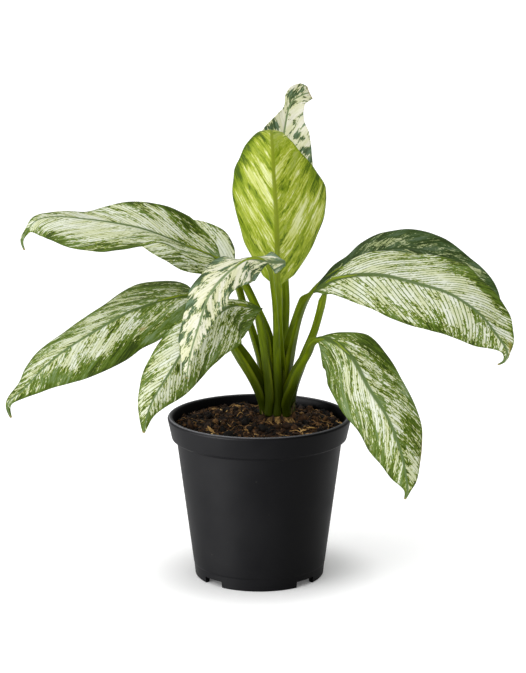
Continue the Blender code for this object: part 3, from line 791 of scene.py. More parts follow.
@dataclass
class Leaf:
    """A leaf of the plant, with its blade and its stalk as two pieces."""

    name: str
    shape: LeafShape
    seed: int
    rows: int = 190
    half_columns: int = 26
    thickness: float = 0.5
    heading_reach: float = 9.0

    def midrib(self, along: Array) -> tuple[Array, Array, Array, Array]:
        """Reads the midrib.

        Args:
            along: distances from the blade's base.

        Returns:
            Its points, the directions across and out of the face, and its widths and leans.
        """
        table = np.array(self.shape.blade, dtype=float)
        knots = chord_knots(table[:, :3])
        slopes = spline_slopes(knots, table[:, :3])
        middle = read_curve(knots, table[:, :3], slopes, along)
        ahead = read_curve(knots, table[:, :3], slopes, np.clip(along + self.heading_reach, 0, knots[-1]))
        behind = read_curve(knots, table[:, :3], slopes, np.clip(along - self.heading_reach, 0, knots[-1]))
        heading = unit(ahead - behind)
        widths = read_curve(knots, table[:, 3:], steady_slopes(knots, table[:, 3:]), along)
        side = unit(np.cross(heading, np.array(self.shape.face, dtype=float)))
        return middle, side, unit(np.cross(side, heading)), widths

    def length(self) -> float:
        """The length of the blade along its midrib."""
        return float(chord_knots(np.array(self.shape.blade, dtype=float)[:, :3])[-1])

    def middle_surface(self, along: Array, across: Array) -> tuple[Array, Array]:
        """The surface halfway through the blade.

        Each half is an arc in the plane square to the midrib's heading. It
        starts at its lean, turns by its curl, and is as long as its width.

        Args:
            along: distances from the base, one for each row.
            across: from -1 at the left edge to 1 at the right edge.

        Returns:
            Points by row and column, and each point's distance from the midrib.
        """
        middle, side, out, widths = self.midrib(along)
        right = across >= 0
        width = np.where(right, widths[:, 0:1], widths[:, 1:2]) * (0.3 + 0.7 * ease(0.0, 7.0, along))[:, None]
        lean = np.radians(np.where(right, widths[:, 2:3], widths[:, 3:4]))
        curl = np.radians(np.where(right, self.shape.curl[0], self.shape.curl[1]))
        curl = np.where(np.abs(curl) < 0.001, 0.001, curl)
        share = np.abs(across)
        end = lean + curl * share
        reach = width * (np.sin(end) - np.sin(lean)) / curl * np.where(right, 1, -1)
        drop = width * (np.cos(lean) - np.cos(end)) / curl
        points = middle[:, None] + reach[:, :, None] * side[:, None] - drop[:, :, None] * out[:, None]
        return points, width * share

    def blade(self) -> Surface:
        """The blade as a closed shell.

        The relief is added along the normal: a lateral vein every few
        millimetres that leaves the rib forwards, a slow wave that grows
        towards the edge, a groove over the midrib and a ridge under it.

        Returns:
            The shell, with the vein coordinates as its uv.
        """
        length = self.length()
        along = length * (np.linspace(0.0, 1.0, self.rows) + 0.0)
        half = np.linspace(0.0, 1.0, self.half_columns + 1) ** 1.15
        across = np.concatenate([-half[:0:-1], half])[None, :]
        points, distance = self.middle_surface(along, across)
        sweep = np.where(across > 0, *self.shape.sweep)
        origin = along[:, None] - sweep * distance - 0.012 * distance**2
        wobble = lumps(np.stack([origin / 9, distance / 30 + 40 * np.sign(across), 0 * origin], -1), 1.0, self.seed)
        phase = origin / VEIN_SPACING + 0.35 * wobble + 0.5 * (across > 0)
        vein = 0.5 + 0.5 * np.cos(2 * math.pi * phase)
        normal = unit(np.cross(np.gradient(points, axis=1), np.gradient(points, axis=0)))
        out = self.midrib(along)[2]
        normal *= np.sign((normal * out[:, None]).sum(-1).mean())
        share = np.abs(across)
        fade = ease(0.0, 5.0, distance) * ease(0.0, 12.0, length - along)[:, None]
        slow = lumps(points, 22.0, self.seed + 5, 2)
        beside = np.stack([along[:, None] + 0 * across, 300.0 * (across > 0) + 0 * distance, 0 * distance], axis=-1)
        edge = 1.6 * lumps(beside, 19.0, self.seed + 8, 2)
        ends = (ease(0.0, 18.0, along) * ease(0.0, 16.0, length - along))[:, None]
        lift = -0.24 * vein**3 * fade * (1 - share**4) + 0.5 * slow * fade * ends
        lift = lift + self.shape.wave * share**3 * edge * ends
        narrow = ease(0.0, 1.0, along / length) * 0.8
        rib_half = (1.9 - 1.5 * narrow)[:, None]
        rib = np.exp(-((distance / rib_half) ** 2))
        points = points + (lift[:, :, None] - 0.35 * rib[:, :, None] * ends[:, :, None]) * normal
        thick = self.thickness * (1 - 0.75 * ease(0.9, 1.0, share)) / 2
        ridge = 1.1 * rib * (1.2 - narrow[:, None]) * ends
        face = points + thick[:, :, None] * normal
        back = points - (thick + ridge)[:, :, None] * normal
        shell = np.concatenate([face, back[:, ::-1]], axis=1)
        uv = np.stack([phase * VEIN_SPACING, distance * np.sign(across) + 90 * (across > 0)], -1) / 10
        marks = self.paint(along, across, distance)
        both = {k: np.concatenate([v, v[:, ::-1]], axis=1) for k, v in marks.items()}
        both["under"] = np.concatenate([np.zeros_like(distance), np.ones_like(distance)], axis=1)
        return self.shell(shell, np.concatenate([uv, uv[:, ::-1]], axis=1), both)

    def shell(self, points: Array, uv: Array, marks: dict[str, Array]) -> Surface:
        """Closes a loop of face and back columns with a strip at the base and one at the tip."""
        rows, columns = points.shape[:2]
        half = columns // 2
        here = np.arange(half - 1)
        strip = np.stack([here, here + 1, columns - 2 - here, columns - 1 - here], axis=1)
        last = strip[:, ::-1] + (rows - 1) * columns
        faces = np.vstack([grid_faces(rows, columns, True)[:, ::-1], strip, last])
        flat = {k: v.reshape(-1) for k, v in marks.items()}
        return outward(Surface(points.reshape(-1, 3) * MM, faces, uv.reshape(-1, 2), flat))

    def paint(self, along: Array, across: Array, distance: Array) -> dict[str, Array]:
        """What the material reads at each point.

        Args:
            along: distances from the base, one for each row.
            across: from -1 to 1, one for each column.
            distance: each point's distance from the midrib.

        Returns:
            cream is the bias towards cream, deep how dark the green is, and below zero how far it goes towards the grey
            tone and painted sheen, rib the midrib's line, dry the brown places, and along the share of the length.
        """
        shape = self.shape
        share = along[:, None] / self.length()
        width = distance / np.maximum(np.abs(across), 1e-6)
        inset = (1 - np.abs(across)) * width
        fade = np.where(across > 0, *shape.fade)
        cream = shape.cream - fade * ease(0.3, 1.0, np.abs(across))
        edge = 1 - ease(0.1 * shape.margin, shape.margin, inset)
        cream = cream - 0.18 * edge - 0.3 * (1 - ease(0.0, 0.1, share)) - 0.25 * ease(0.93, 1.0, share)
        deep = 0.2 * edge
        dry = 0.7 * ease(0.985, 1.0, share) + np.zeros_like(distance)
        for patch in shape.patches:
            weight = np.exp(-(((share - patch.along) / patch.length) ** 2) - ((across - patch.across) / patch.width) ** 2)
            cream = cream + patch.cream * weight
            deep = deep + patch.deep * weight
            dry = dry + patch.dry * weight
        line = np.exp(-((distance / (shape.rib_width * (1.15 - 0.75 * share))) ** 4))
        return {"cream": cream, "deep": deep, "rib": line, "dry": dry, "along": share + np.zeros_like(distance)}

    def stalk_route(self) -> tuple[Array, Array]:
        """The stalk's line, carried on under the midrib.

        Returns:
            Points along it, and its radius at each.
        """
        shape = self.shape
        route = np.array(((*shape.root, 107.0),) + shape.stalk, dtype=float)
        length = self.length()
        steps = np.linspace(0.0, 0.5 * length, 60)
        middle, _, out, _ = self.midrib(steps)
        nearest = int(np.argmin(np.linalg.norm(middle - route[-1], axis=1)))
        wanted = steps[nearest] + np.array([7.0, 16.0, 28.0])
        middle, _, out, _ = self.midrib(wanted)
        under = middle - out * np.array([[1.5], [0.9], [0.4]])
        if np.linalg.norm(route[-1] - np.array(shape.blade[0][:3])) < 0.5:
            route = route[:-1]
        route = np.vstack([route, under])
        knots = chord_knots(route)
        wanted = np.linspace(0.0, knots[-1], 110)
        points = read_curve(knots, route, spline_slopes(knots, route), wanted)
        end = knots[-4] if len(knots) > 4 else knots[-1]
        radii = np.interp(wanted, (0.0, 8.0, 0.45 * end, end, knots[-3], knots[-2], knots[-1]),
                          (3.3, shape.radii[0] + 0.2, shape.radii[1], shape.radii[2], shape.radii[2] * 0.85, 1.0, 0.3))
        return points, radii

    def stalk(self) -> Surface:
        """The stalk as a tube whose section is a circle with a groove, and two thin wings beside the groove.

        Returns:
            The tube, with millimetres round and along it as its uv.
        """
        shape = self.shape
        points, radii = self.stalk_route()
        along = chord_knots(points)
        share = along / along[-1]
        heading = unit(np.gradient(points, axis=0))
        inner = np.array(shape.inner, dtype=float)
        inner = unit(inner - (heading @ inner)[:, None] * heading)
        side = np.cross(heading, inner)
        near = 0.75 + np.array([-0.16, -0.1, -0.05, 0.0, 0.06, 0.13, 0.22])
        turn = np.sort(np.concatenate([np.linspace(-math.pi, math.pi, 45, endpoint=False), near, -near]))
        height, end = shape.wing
        grown = height * ease(0.0, 0.12, share) * (1 - ease(end - 0.06, end, share)) * (0.75 + 0.25 * np.sin(9 * share))
        slope = np.where(np.abs(turn) > 0.75, 0.62, 0.13)
        wing = np.exp(-(((np.abs(turn) - 0.75) / slope) ** 2))[None, :] * grown[:, None]
        groove = 0.35 * np.exp(-((turn / 0.5) ** 2))[None, :] * (1 - ease(0.9, 1.0, share))[:, None]
        ribs = 0.03 * np.cos(11 * turn)[None, :]
        reach = radii[:, None] * (1 - groove + ribs) + wing
        rings = points[:, None] + reach[:, :, None] * (
            np.cos(turn)[None, :, None] * inner[:, None] + np.sin(turn)[None, :, None] * side[:, None]
        )
        uv = np.stack([np.broadcast_to(turn * 3.0, reach.shape), np.broadcast_to(along[:, None], reach.shape)], -1) / 10
        # darker towards the soil: partly the stalk's own colour, partly painted shade among the crowded stalks
        foot_tone_and_shade = (1 - ease(6.0, 68.0, along))[:, None] * np.ones_like(reach)
        sheath = ease(0.45, 1.0, wing / height)
        high = ease(0.5, 0.95, share)[:, None] * np.ones_like(reach)
        return tube(rings, uv, {"sheath": sheath, "foot_tone_and_shade": 0.85 * foot_tone_and_shade, "high": 0.8 * high})

    def build(self) -> None:
        """Makes both pieces of the leaf."""
        skin = self.shape.finish.value.material(self.name, self.seed, self.shape.line)
        piece(f"{self.name}_leaf_blade", self.blade(), skin, f"{self.name}_blade", self.shape.slot)
        look = StalkSkin().material(self.name, self.seed)
        piece(f"{self.name}_leaf_stalk", self.stalk(), look, f"{self.name}_stalk", "stalk")

LEAVES: dict[str, LeafShape] = {
    "top": LeafShape(
        finish=Finish.LIME, slot="blade_lime", inner=(0.1, -1, 0.3), rib_width=1.8, wing=(2.0, 0.8), line=0.35, cream=-0.1, fade=(0.05, 0.2),
        sweep=(0.9, 1.5),
        face=(0, -0.64, 0.77), curl=(20, 20), root=(14.8, 4.2), radii=(2.4, 2.6, 2.4),
        stalk=(
            (14.2, 4.2, 126), (13, 2, 150), (12, -1, 170), (11.5, -3, 184), (11.5, -4, 192),
        ),
        blade=(
            (11.5, -4, 192, 6, 6, 15, 15), (11.5, -7, 205, 19, 15, 20, 20), (11.5, -10, 220, 31, 24, 22, 22),
            (11, -12, 236, 39, 28, 22, 22), (10, -12, 253, 41, 31, 22, 22), (9, -10, 269, 33, 30, 22, 22),
            (8.5, -7, 281, 22, 24, 20, 20), (8, -2, 289, 14, 18, 12, 12), (8, 6, 292.5, 9, 12, 10, 10),
            (8.5, 15, 290.5, 5, 6, 0, 0), (9, 22, 286, 0.8, 0.8, 0, 0),
        ),
        patches=(
            Patch(0.7, -0.92, 0.15, 0.22, -0.3, 0.8), Patch(0.86, -0.6, 0.06, 0.4, -0.1, 0.5),
            Patch(0.8, -0.5, 0.05, 0.2, 0.3), Patch(0.6, -0.42, 0.1, 0.28, 0.25),
            Patch(0.42, -0.6, 0.1, 0.25, 0.2), Patch(0.28, -0.45, 0.08, 0.25, 0.2),
            Patch(0.62, 0.95, 0.16, 0.16, -0.2, 0.6), Patch(0.4, 0.95, 0.12, 0.14, -0.1, 0.4),
            Patch(0.3, 0.45, 0.12, 0.4, 0.12), Patch(0.75, 0.45, 0.07, 0.3, 0, -0.7),
            Patch(0.52, 0.14, 0.015, 0.06, -0.3, 0.9),
        ),
    ),
    "crest": LeafShape(
        finish=Finish.CREAM, slot="blade_cream", inner=(0, -1, 0.2), line=0.1, cream=0.38, fade=(0.05, 0.05),
        face=(0, -1, 0.2), curl=(-15, -15), root=(12, 9.4), radii=(2.4, 2.2, 1.7),
        stalk=(
            (14.2, 14.5, 124), (16, 22, 152), (17.5, 29, 178), (16.5, 33, 194), (16.5, 34, 202),
        ),
        blade=(
            (16.5, 34, 202, 2, 2, -10, -10), (15.5, 36, 220, 12, 12, -10, -10),
            (14.5, 39, 239, 19.5, 18.5, -10, -10), (14, 42, 259, 22.5, 20.5, -10, -10),
            (14.5, 44, 275, 21, 18.5, -10, -10), (16.5, 46, 288, 17.5, 13.5, -10, -10),
            (18, 47, 296.5, 12, 7, 0, 0), (19.5, 48, 302.5, 10.5, 3.5, 0, 0), (22, 49, 307, 9.5, 6.5, 0, 0),
            (26, 51, 309.5, 6.5, 8.5, 0, 0), (30, 54, 311, 5.5, 7.5, 0, 0), (33, 57, 311.5, 4.5, 4.5, 0, 0),
        ),
        patches=(
            Patch(0.62, 0.78, 0.025, 0.2, -0.7, 0.3), Patch(0.69, 0.55, 0.022, 0.22, -0.8, 0.1),
            Patch(0.76, 0.4, 0.02, 0.14, -0.6), Patch(0.55, 0.9, 0.03, 0.15, -0.6, 0.2),
            Patch(0.72, -0.65, 0.03, 0.3, -0.8), Patch(0.9, -0.6, 0.03, 0.4, -0.6, -0.2),
            Patch(0.95, 0.2, 0.03, 0.4, -0.5), Patch(0.86, -0.1, 0.03, 0.25, -0.5, 0.1),
            Patch(0.48, -0.3, 0.05, 0.3, -0.6), Patch(0.35, 0.5, 0.05, 0.3, -0.6),
        ),
    ),
    "far_left": LeafShape(
        inner=(0.6, -0.3, 1), rib_width=1.1, line=0.6, cream=0.16, fade=(0.2, 0.12), sweep=(2, 2.4),
        face=(0, -1, 0.1), curl=(-12, 10), root=(9.2, 4.2), radii=(2.4, 2.6, 1.8),
        stalk=(
            (9, 6, 122), (7, 6.5, 142), (4.5, 6.5, 160), (-1, 6.5, 174), (-7.5, 6, 188), (-14, 6, 198.5),
            (-19.5, 6, 204.5), (-23.5, 6, 206.5),
        ),
        blade=(
            (-23.5, 6, 206.5, 2, 2, 50, -55), (-30.5, 4, 211.5, 11, 8, 50, -60),
            (-39, 2, 215.5, 17.5, 13.5, 50, -68), (-49.5, 0, 220, 23, 15.5, 48, -75),
            (-62, -2, 225.5, 23.5, 16, 46, -84), (-73.5, -3, 230, 22, 19.5, 46, -64),
            (-85, -4, 233, 20, 24, 50, -58), (-99.5, -4, 235.5, 16, 27, 62, -52),
            (-115.5, -4, 237.5, 12, 26, 76, -50), (-133.5, -3, 238, 7.5, 20, 76, -50),
            (-144, -3, 234.5, 5, 14, 60, -50), (-148.5, -3, 229, 2, 2.5, 40, -40),
            (-152, -3, 223, 1, 1.2, 20, -20), (-150.5, -3, 216.5, 0.6, 0.6, 0, 0),
        ),
        patches=(
            Patch(0.2, 0.75, 0.1, 0.35, -0.3, 0.6), Patch(0.35, 0.95, 0.12, 0.12, -0.3, 0.5),
            Patch(0.3, 0.25, 0.12, 0.2, 0.15), Patch(0.65, -0.3, 0.16, 0.35, 0.3),
            Patch(0.55, -0.9, 0.2, 0.25, -0.35, 0.2), Patch(0.8, -0.85, 0.08, 0.3, -0.35, 0.5),
            Patch(0.06, 0, 0.06, 1, -0.1, -0.6), Patch(0.68, 0.5, 0.2, 0.5, 0.15),
        ),
    ),
    "behind_left": LeafShape(
        inner=(0.6, -0.6, 1), cream=0.27, fade=(0.15, 0.15),
        face=(0, -1, 0.1), curl=(-10, 10), root=(6.5, 9.4), radii=(2.4, 2, 1.6),
        stalk=(
            (3, 13, 124), (0.5, 15, 139), (-3.5, 16, 153.5), (-7.5, 17, 166.5), (-12, 18, 180), (-15, 18.5, 190),
            (-18, 20, 198),
        ),
        blade=(
            (-18, 20, 198, 2, 2, 40, -40), (-29, 30, 203, 18, 14, 40, -45), (-40.5, 38, 208, 25, 19.5, 42, -48),
            (-52.5, 45, 212, 23, 17.5, 44, -50), (-65, 51, 214, 17.5, 13.5, 46, -50),
            (-78.5, 56, 216, 10, 7, 46, -50), (-95, 61, 217, 0.8, 0.8, 40, -40),
        ),
        patches=(
            Patch(0.22, 0.45, 0.12, 0.35, 0.3), Patch(0.2, 0.95, 0.2, 0.15, -0.3, 0.3),
            Patch(0.4, -0.55, 0.2, 0.35, -0.3, 0.4), Patch(0.45, 0.3, 0.2, 0.4, 0.2),
        ),
    ),
    "mid_left": LeafShape(
        inner=(1, -0.45, 0.5), rib_width=1.2, wing=(4.4, 0.62), cream=-0.04, fade=(0.14, 0.32), sweep=(2, 1.8), wave=0.6,
        face=(0, -1, 0.1), curl=(0, 25), root=(3.8, 3.8), radii=(2.4, 3.5, 1.8),
        stalk=(
            (-2, 3, 125.5), (-8.5, 2, 138.5), (-16, 2, 151), (-24, 3, 165), (-31, 5, 177), (-34.5, 6.2, 181.5),
            (-37, 6.8, 183.2),
        ),
        blade=(
            (-38.5, 6, 183.5, 2.5, 2.5, 50, -30), (-47, 4, 185, 15, 15, 62, -25),
            (-60.5, 2, 183.5, 23.5, 20, 62, -20), (-74.5, 1, 179, 28, 24.5, 62, -20),
            (-86, -1, 175, 25.5, 25.5, 62, -20), (-99, -3, 168, 22, 27, 62, -20),
            (-112, -5, 160.5, 21.5, 26, 62, -20), (-124.5, -7, 152.5, 18.5, 23.5, 60, -20),
            (-135, -9, 144.5, 19, 19, 58, -20), (-146, -11, 133.5, 16, 11, 56, -20),
            (-154.5, -12, 125, 8, 5, 54, -20), (-162.5, -13, 117.5, 2, 2.5, 40, -20),
            (-160.5, -14, 108.5, 0.7, 0.7, 0, 0),
        ),
        patches=(
            Patch(0.12, 0.7, 0.1, 0.4, -0.15, 0.5), Patch(0.45, 0.35, 0.12, 0.3, 0.2),
            Patch(0.38, 0.12, 0.04, 0.12, -0.2, -0.8), Patch(0.1, -0.5, 0.08, 0.5, -0.05, -0.6),
            Patch(0.33, -0.25, 0.06, 0.28, 0.25), Patch(0.5, -0.4, 0.07, 0.3, 0.4),
            Patch(0.63, -0.5, 0.035, 0.35, 0.3), Patch(0.42, -0.9, 0.14, 0.28, -0.4, 0.7),
            Patch(0.27, -0.85, 0.04, 0.2, -0.1, -0.9), Patch(0.72, -0.6, 0.06, 0.3, -0.25, -0.6),
            Patch(0.28, -0.55, 0.02, 0.025, 0, 0, 1.2), Patch(0.6, 0.3, 0.08, 0.3, 0.15),
        ),
    ),
    "low_left": LeafShape(
        inner=(1, -0.2, 0.3), rib_width=1.1, wing=(2.8, 0.7), line=0.6, cream=0.12, fade=(0.2, 0.2),
        face=(0, -1, 0.3), curl=(20, 20), root=(6.5, -1), radii=(2.4, 2.6, 1.8),
        stalk=(
            (5.8, -2.5, 127.5), (4, -4.5, 143.5), (2, -6.5, 158), (-0.5, -9.5, 171), (-2.8, -12.3, 178.9),
        ),
        blade=(
            (2, -12, 180, 0.8, 1.5, 20, 0), (-2.5, -15, 181.5, 2, 13, 20, 0), (-8, -18, 183, 4, 20, 20, -5),
            (-13.5, -22, 184.5, 5.5, 23, 28, 0), (-19.5, -27, 184, 10, 24, 28, 0), (-28, -33, 179, 17, 25, 25, 10),
            (-36.5, -39, 171, 17.5, 23, 20, 15), (-46, -45, 161.5, 17.5, 22.5, 15, 20),
            (-57, -52, 145.5, 17, 19, 15, 20), (-66, -58, 131.5, 11.5, 10.5, 15, 15),
            (-70, -61, 121, 6, 4, 15, 15), (-72, -62, 111, 0.7, 0.7, 0, 0),
        ),
        patches=(
            Patch(0.12, -0.5, 0.12, 0.6, -0.4, 0.3), Patch(0.62, -0.85, 0.14, 0.28, -0.3, 0.3),
            Patch(0.42, 0.6, 0.08, 0.4, -0.12, -0.5), Patch(0.64, -0.15, 0.025, 0.1, -0.3, 0.3),
            Patch(0.55, 0.3, 0.15, 0.4, 0.2), Patch(0.78, -0.2, 0.08, 0.4, 0.2), Patch(0.93, 0, 0.05, 1, -0.2),
        ),
    ),
    "twisted": LeafShape(
        finish=Finish.CREAM, slot="blade_cream", inner=(0.7, 1, 0.2), wing=(1.2, 0.5), line=0.15, cream=0.22, fade=(0.15, 0.15),
        face=(0, -1, 0.3), curl=(0, 0), root=(11.8, -1.5), radii=(2.4, 1.9, 1.5),
        stalk=(
            (11.2, -4.5, 131), (10.8, -9, 152), (10.5, -15, 173), (9.5, -22, 189), (8, -30, 202),
            (7, -34.6, 208.4),
        ),
        blade=(
            (16.5, -30, 213.5, 5, 10, 40, 20), (12.5, -33, 214, 10, 8.5, 40, 20),
            (8, -36, 214.5, 8.5, 3.5, 55, 20), (5.5, -38, 215.5, 9.5, 2.5, 68, 20),
            (-0.5, -41, 217, 9.5, 14, 75, 20), (-7, -44, 218, 12, 14.5, 80, 10), (-13, -47, 215, 20, 14, 58, 0),
            (-20, -51, 210, 18, 11.5, 45, 0), (-25.5, -54, 204.5, 14, 10.5, 30, 0),
            (-31, -57, 197, 14.5, 12.5, 25, 10), (-34.5, -59, 188, 12, 9.5, 20, 15),
            (-37.5, -60, 178, 11.5, 7, 20, 15), (-40.5, -60, 168.5, 11, 5.5, 20, 15),
            (-43, -60, 158.5, 7, 2, 20, 10), (-45, -58, 145, 0.6, 0.6, 0, 0),
        ),
        patches=(
            Patch(0.34, -0.2, 0.03, 0.25, 0.5), Patch(0.35, 0.92, 0.05, 0.2, -0.6, 0.1),
            Patch(0.5, 0.85, 0.04, 0.15, -0.6, 0.2), Patch(0.6, 0.8, 0.035, 0.2, -0.6),
            Patch(0.63, 0.45, 0.025, 0.15, -0.5), Patch(0.25, -0.3, 0.04, 0.3, -0.4),
            Patch(0.2, -0.8, 0.05, 0.3, -0.5, -0.3), Patch(0.46, -0.7, 0.05, 0.2, -0.5, -0.2),
            Patch(0.56, -0.6, 0.035, 0.25, -0.6), Patch(0.64, -0.4, 0.025, 0.2, -0.6, 0.2),
            Patch(0.06, 0, 0.06, 1.2, -0.22, -0.9), Patch(0.76, 0.9, 0.04, 0.2, -0.4),
            Patch(0.93, 0.3, 0.04, 0.6, -0.1, -0.2),
        ),
    ),
    "upper_right": LeafShape(
        finish=Finish.DARK, slot="blade_dark", inner=(-1, -0.45, 0.5), wing=(4.8, 0.72), cream=-0.28, fade=(0.1, 0.1), line=0.2,
        face=(0, -1, 0.1), curl=(10, -12), root=(17.3, 9.4), radii=(2.4, 3.3, 1.5),
        stalk=(
            (17.8, 8, 128.5), (20, 8.2, 145), (22.5, 9, 157), (25.5, 11, 168), (29, 13, 177), (33, 15, 184),
            (36.5, 16, 188),
        ),
        blade=(
            (36.5, 16, 188, 1.2, 1.2, -30, 45), (43, 19, 194, 1.5, 2, -40, 45), (50, 22, 198.5, 2, 4, -45, 45),
            (61, 26, 203, 8.5, 7.5, -50, 50), (73, 32, 207.5, 20, 12.5, -50, 50),
            (87.5, 37, 210.5, 26, 15.5, -50, 50), (104.5, 42, 209.5, 28, 17, -50, 50),
            (120, 46, 204, 26, 17, -50, 50), (135.5, 49, 194, 20, 14.5, -45, 50),
            (148, 51, 181.5, 12.5, 13, -40, 45), (157.5, 52, 167.5, 6, 6, -20, 20), (161, 52, 158, 0.7, 0.7, 0, 0),
        ),
        patches=(
            Patch(0.38, -0.4, 0.1, 0.25, 0.4), Patch(0.75, -0.5, 0.09, 0.35, 0.35),
            Patch(0.5, -0.8, 0.1, 0.2, 0, -0.3),
        ),
    ),
    "broad_right": LeafShape(
        inner=(-1, -0.3, 0.5), rib_width=1.6, wing=(2.6, 0.75), cream=0.2, fade=(0.14, 0.12), sweep=(1.05, 1.8), line=0.95,
        face=(0, -1, 0.1), curl=(15, -12), root=(20, 4.2), radii=(2.4, 2.3, 1.7),
        stalk=(
            (23.3, 3.8, 126), (27.8, 2.5, 139), (31.5, 1.5, 150), (35.5, 0.5, 161), (39, -0.4, 173), (41, -1, 181),
            (41.9, -1.3, 186.5),
        ),
        blade=(
            (35, 0, 188.5, 3, 1.5, -20, 40), (38.5, -1, 191.5, 5.5, 1.5, -30, 40), (43.5, -3, 195, 8, 2, -30, 45),
            (49, -5, 198, 12.5, 4, -30, 50), (62, -7, 201, 19.5, 15, -30, 52), (76.5, -9, 201.5, 24, 21, -30, 52),
            (91, -11, 199, 27.5, 24.5, -30, 52), (105, -13, 195.5, 28.5, 27, -30, 50),
            (120, -15, 191, 28, 28, -30, 48), (132.5, -17, 184, 25, 23, -28, 45),
            (142, -18, 176.5, 22, 21, -25, 45), (149, -19, 168, 17, 18, -20, 40), (155, -20, 160, 9, 10, -15, 30),
            (158.5, -21, 152, 3, 1.5, 0, 0), (156.5, -21, 147.5, 1, 1, 0, 0), (152.5, -22, 145.5, 0.6, 0.6, 0, 0),
        ),
        patches=(
            Patch(0.6, 0.92, 0.2, 0.22, -0.3, 0.3), Patch(0.66, 0.42, 0.03, 0.32, 0.5),
            Patch(0.82, 0.4, 0.06, 0.4, -0.25), Patch(0.28, -0.4, 0.14, 0.35, 0.12),
            Patch(0.6, -0.95, 0.1, 0.2, -0.45, 0.5), Patch(0.76, -0.8, 0.08, 0.25, -0.35, 0.4),
            Patch(0.7, -0.35, 0.08, 0.25, 0.2), Patch(0.92, -0.6, 0.035, 0.25, 0, 0, 0.5),
            Patch(0.45, 0.35, 0.12, 0.3, 0.1),
        ),
    ),
    "low_right": LeafShape(
        inner=(-1, -0.3, 0.6), rib_width=1.5, wing=(3.6, 0.7), cream=-0.04, fade=(0.18, 0.18), sweep=(2.3, 1.4),
        face=(0, -1, 0.3), curl=(20, 20), root=(17.2, -1), radii=(2.4, 2.9, 2),
        stalk=(
            (18.5, -4, 119), (22, -7, 128.5), (25, -10, 138), (29, -13, 146.5), (32.5, -16.5, 154),
            (34.8, -19.1, 159.5),
        ),
        blade=(
            (36, -20, 162.5, 1.5, 1, 15, 15), (38.5, -22, 163, 11, 1.5, 15, 15), (43, -25, 163, 20, 4, 15, 15),
            (48, -28, 161.5, 20, 10, 15, 20), (55, -33, 157, 22.5, 21, 15, 20), (60.5, -38, 151, 24, 23, 15, 20),
            (64.5, -42, 144, 24, 25, 15, 20), (69, -46, 136, 24, 25.5, 15, 20), (78.5, -52, 122, 22.5, 24, 15, 20),
            (85.5, -57, 107.5, 21, 21.5, 15, 20), (90.5, -60, 91, 14.5, 14, 15, 20), (92.5, -61, 80, 9, 8, 15, 15),
            (93, -62, 73, 2, 2, 0, 0), (91.5, -62, 68, 0.6, 0.6, 0, 0),
        ),
        patches=(
            Patch(0.33, 0.32, 0.13, 0.3, 0.18), Patch(0.57, 0.35, 0.1, 0.25, 0.2),
            Patch(0.38, -0.35, 0.1, 0.28, 0.18), Patch(0.58, -0.3, 0.05, 0.28, 0.25),
            Patch(0.2, 0.9, 0.12, 0.35, -0.2, 0.2), Patch(0.45, 0.88, 0.06, 0.22, -0.1, -0.6),
            Patch(0.5, -0.88, 0.04, 0.18, 0, -0.8), Patch(0.25, -0.85, 0.14, 0.28, -0.3, 0.5),
            Patch(0.67, -0.5, 0.05, 0.28, -0.15, 0.2), Patch(0.86, -0.6, 0.07, 0.35, 0.3),
            Patch(0.8, -0.99, 0.07, 0.06, 0, 0, 0.6), Patch(0.08, 0, 0.05, 1, -0.2, -0.4),
        ),
    ),
}


# The pot, the soil and the crown


def rounded(section: Sequence[tuple[float, float]], radius: float, steps: int = 4) -> Array:
    """Rounds the corners of a section.

    Each corner becomes a quadratic curve that starts and ends a radius away
    from it, with one more point beside it on each side, so that the flat
    stretches stay flat in the light.

    Args:
        section: pairs of radius and height.
        radius: how far from a corner its rounding starts.
        steps: pieces in each rounding.

    Returns:
        The rounded section.
    """
    points = np.array(section, dtype=float)
    corner, before, after = points[1:-1], points[:-2] - points[1:-1], points[2:] - points[1:-1]
    reach = np.minimum(np.linalg.norm(before, axis=1), np.linalg.norm(after, axis=1))
    reach = np.minimum(radius, 0.3 * reach)[:, None, None]
    t = np.linspace(0.0, 1.0, steps + 1)[None, :, None]
    start = corner[:, None] + unit(before)[:, None] * reach
    end = corner[:, None] + unit(after)[:, None] * reach
    arcs = (1 - t) ** 2 * start + 2 * t * (1 - t) * corner[:, None] + t**2 * end
    early = start + unit(before)[:, None] * reach * 0.5
    late = end + unit(after)[:, None] * reach * 0.5
    arcs = np.concatenate([early, arcs, late], axis=1)
    return np.vstack([points[:1], arcs.reshape(-1, 2), points[-1:]])


def turned(section: Array, around: int) -> Array:
    """Rings of points about the Z axis: radius times the cosine and sine of the turn, and height.

    Args:
        section: pairs of radius and height, one for each ring.
        around: points in each ring.

    Returns:
        Points by ring and by place round it.
    """
    turn = np.linspace(0.0, 2 * math.pi, around, endpoint=False)
    x = section[:, 0:1] * np.cos(turn)
    y = section[:, 0:1] * np.sin(turn)
    return np.stack([x, y, np.broadcast_to(section[:, 1:2], x.shape)], axis=-1)


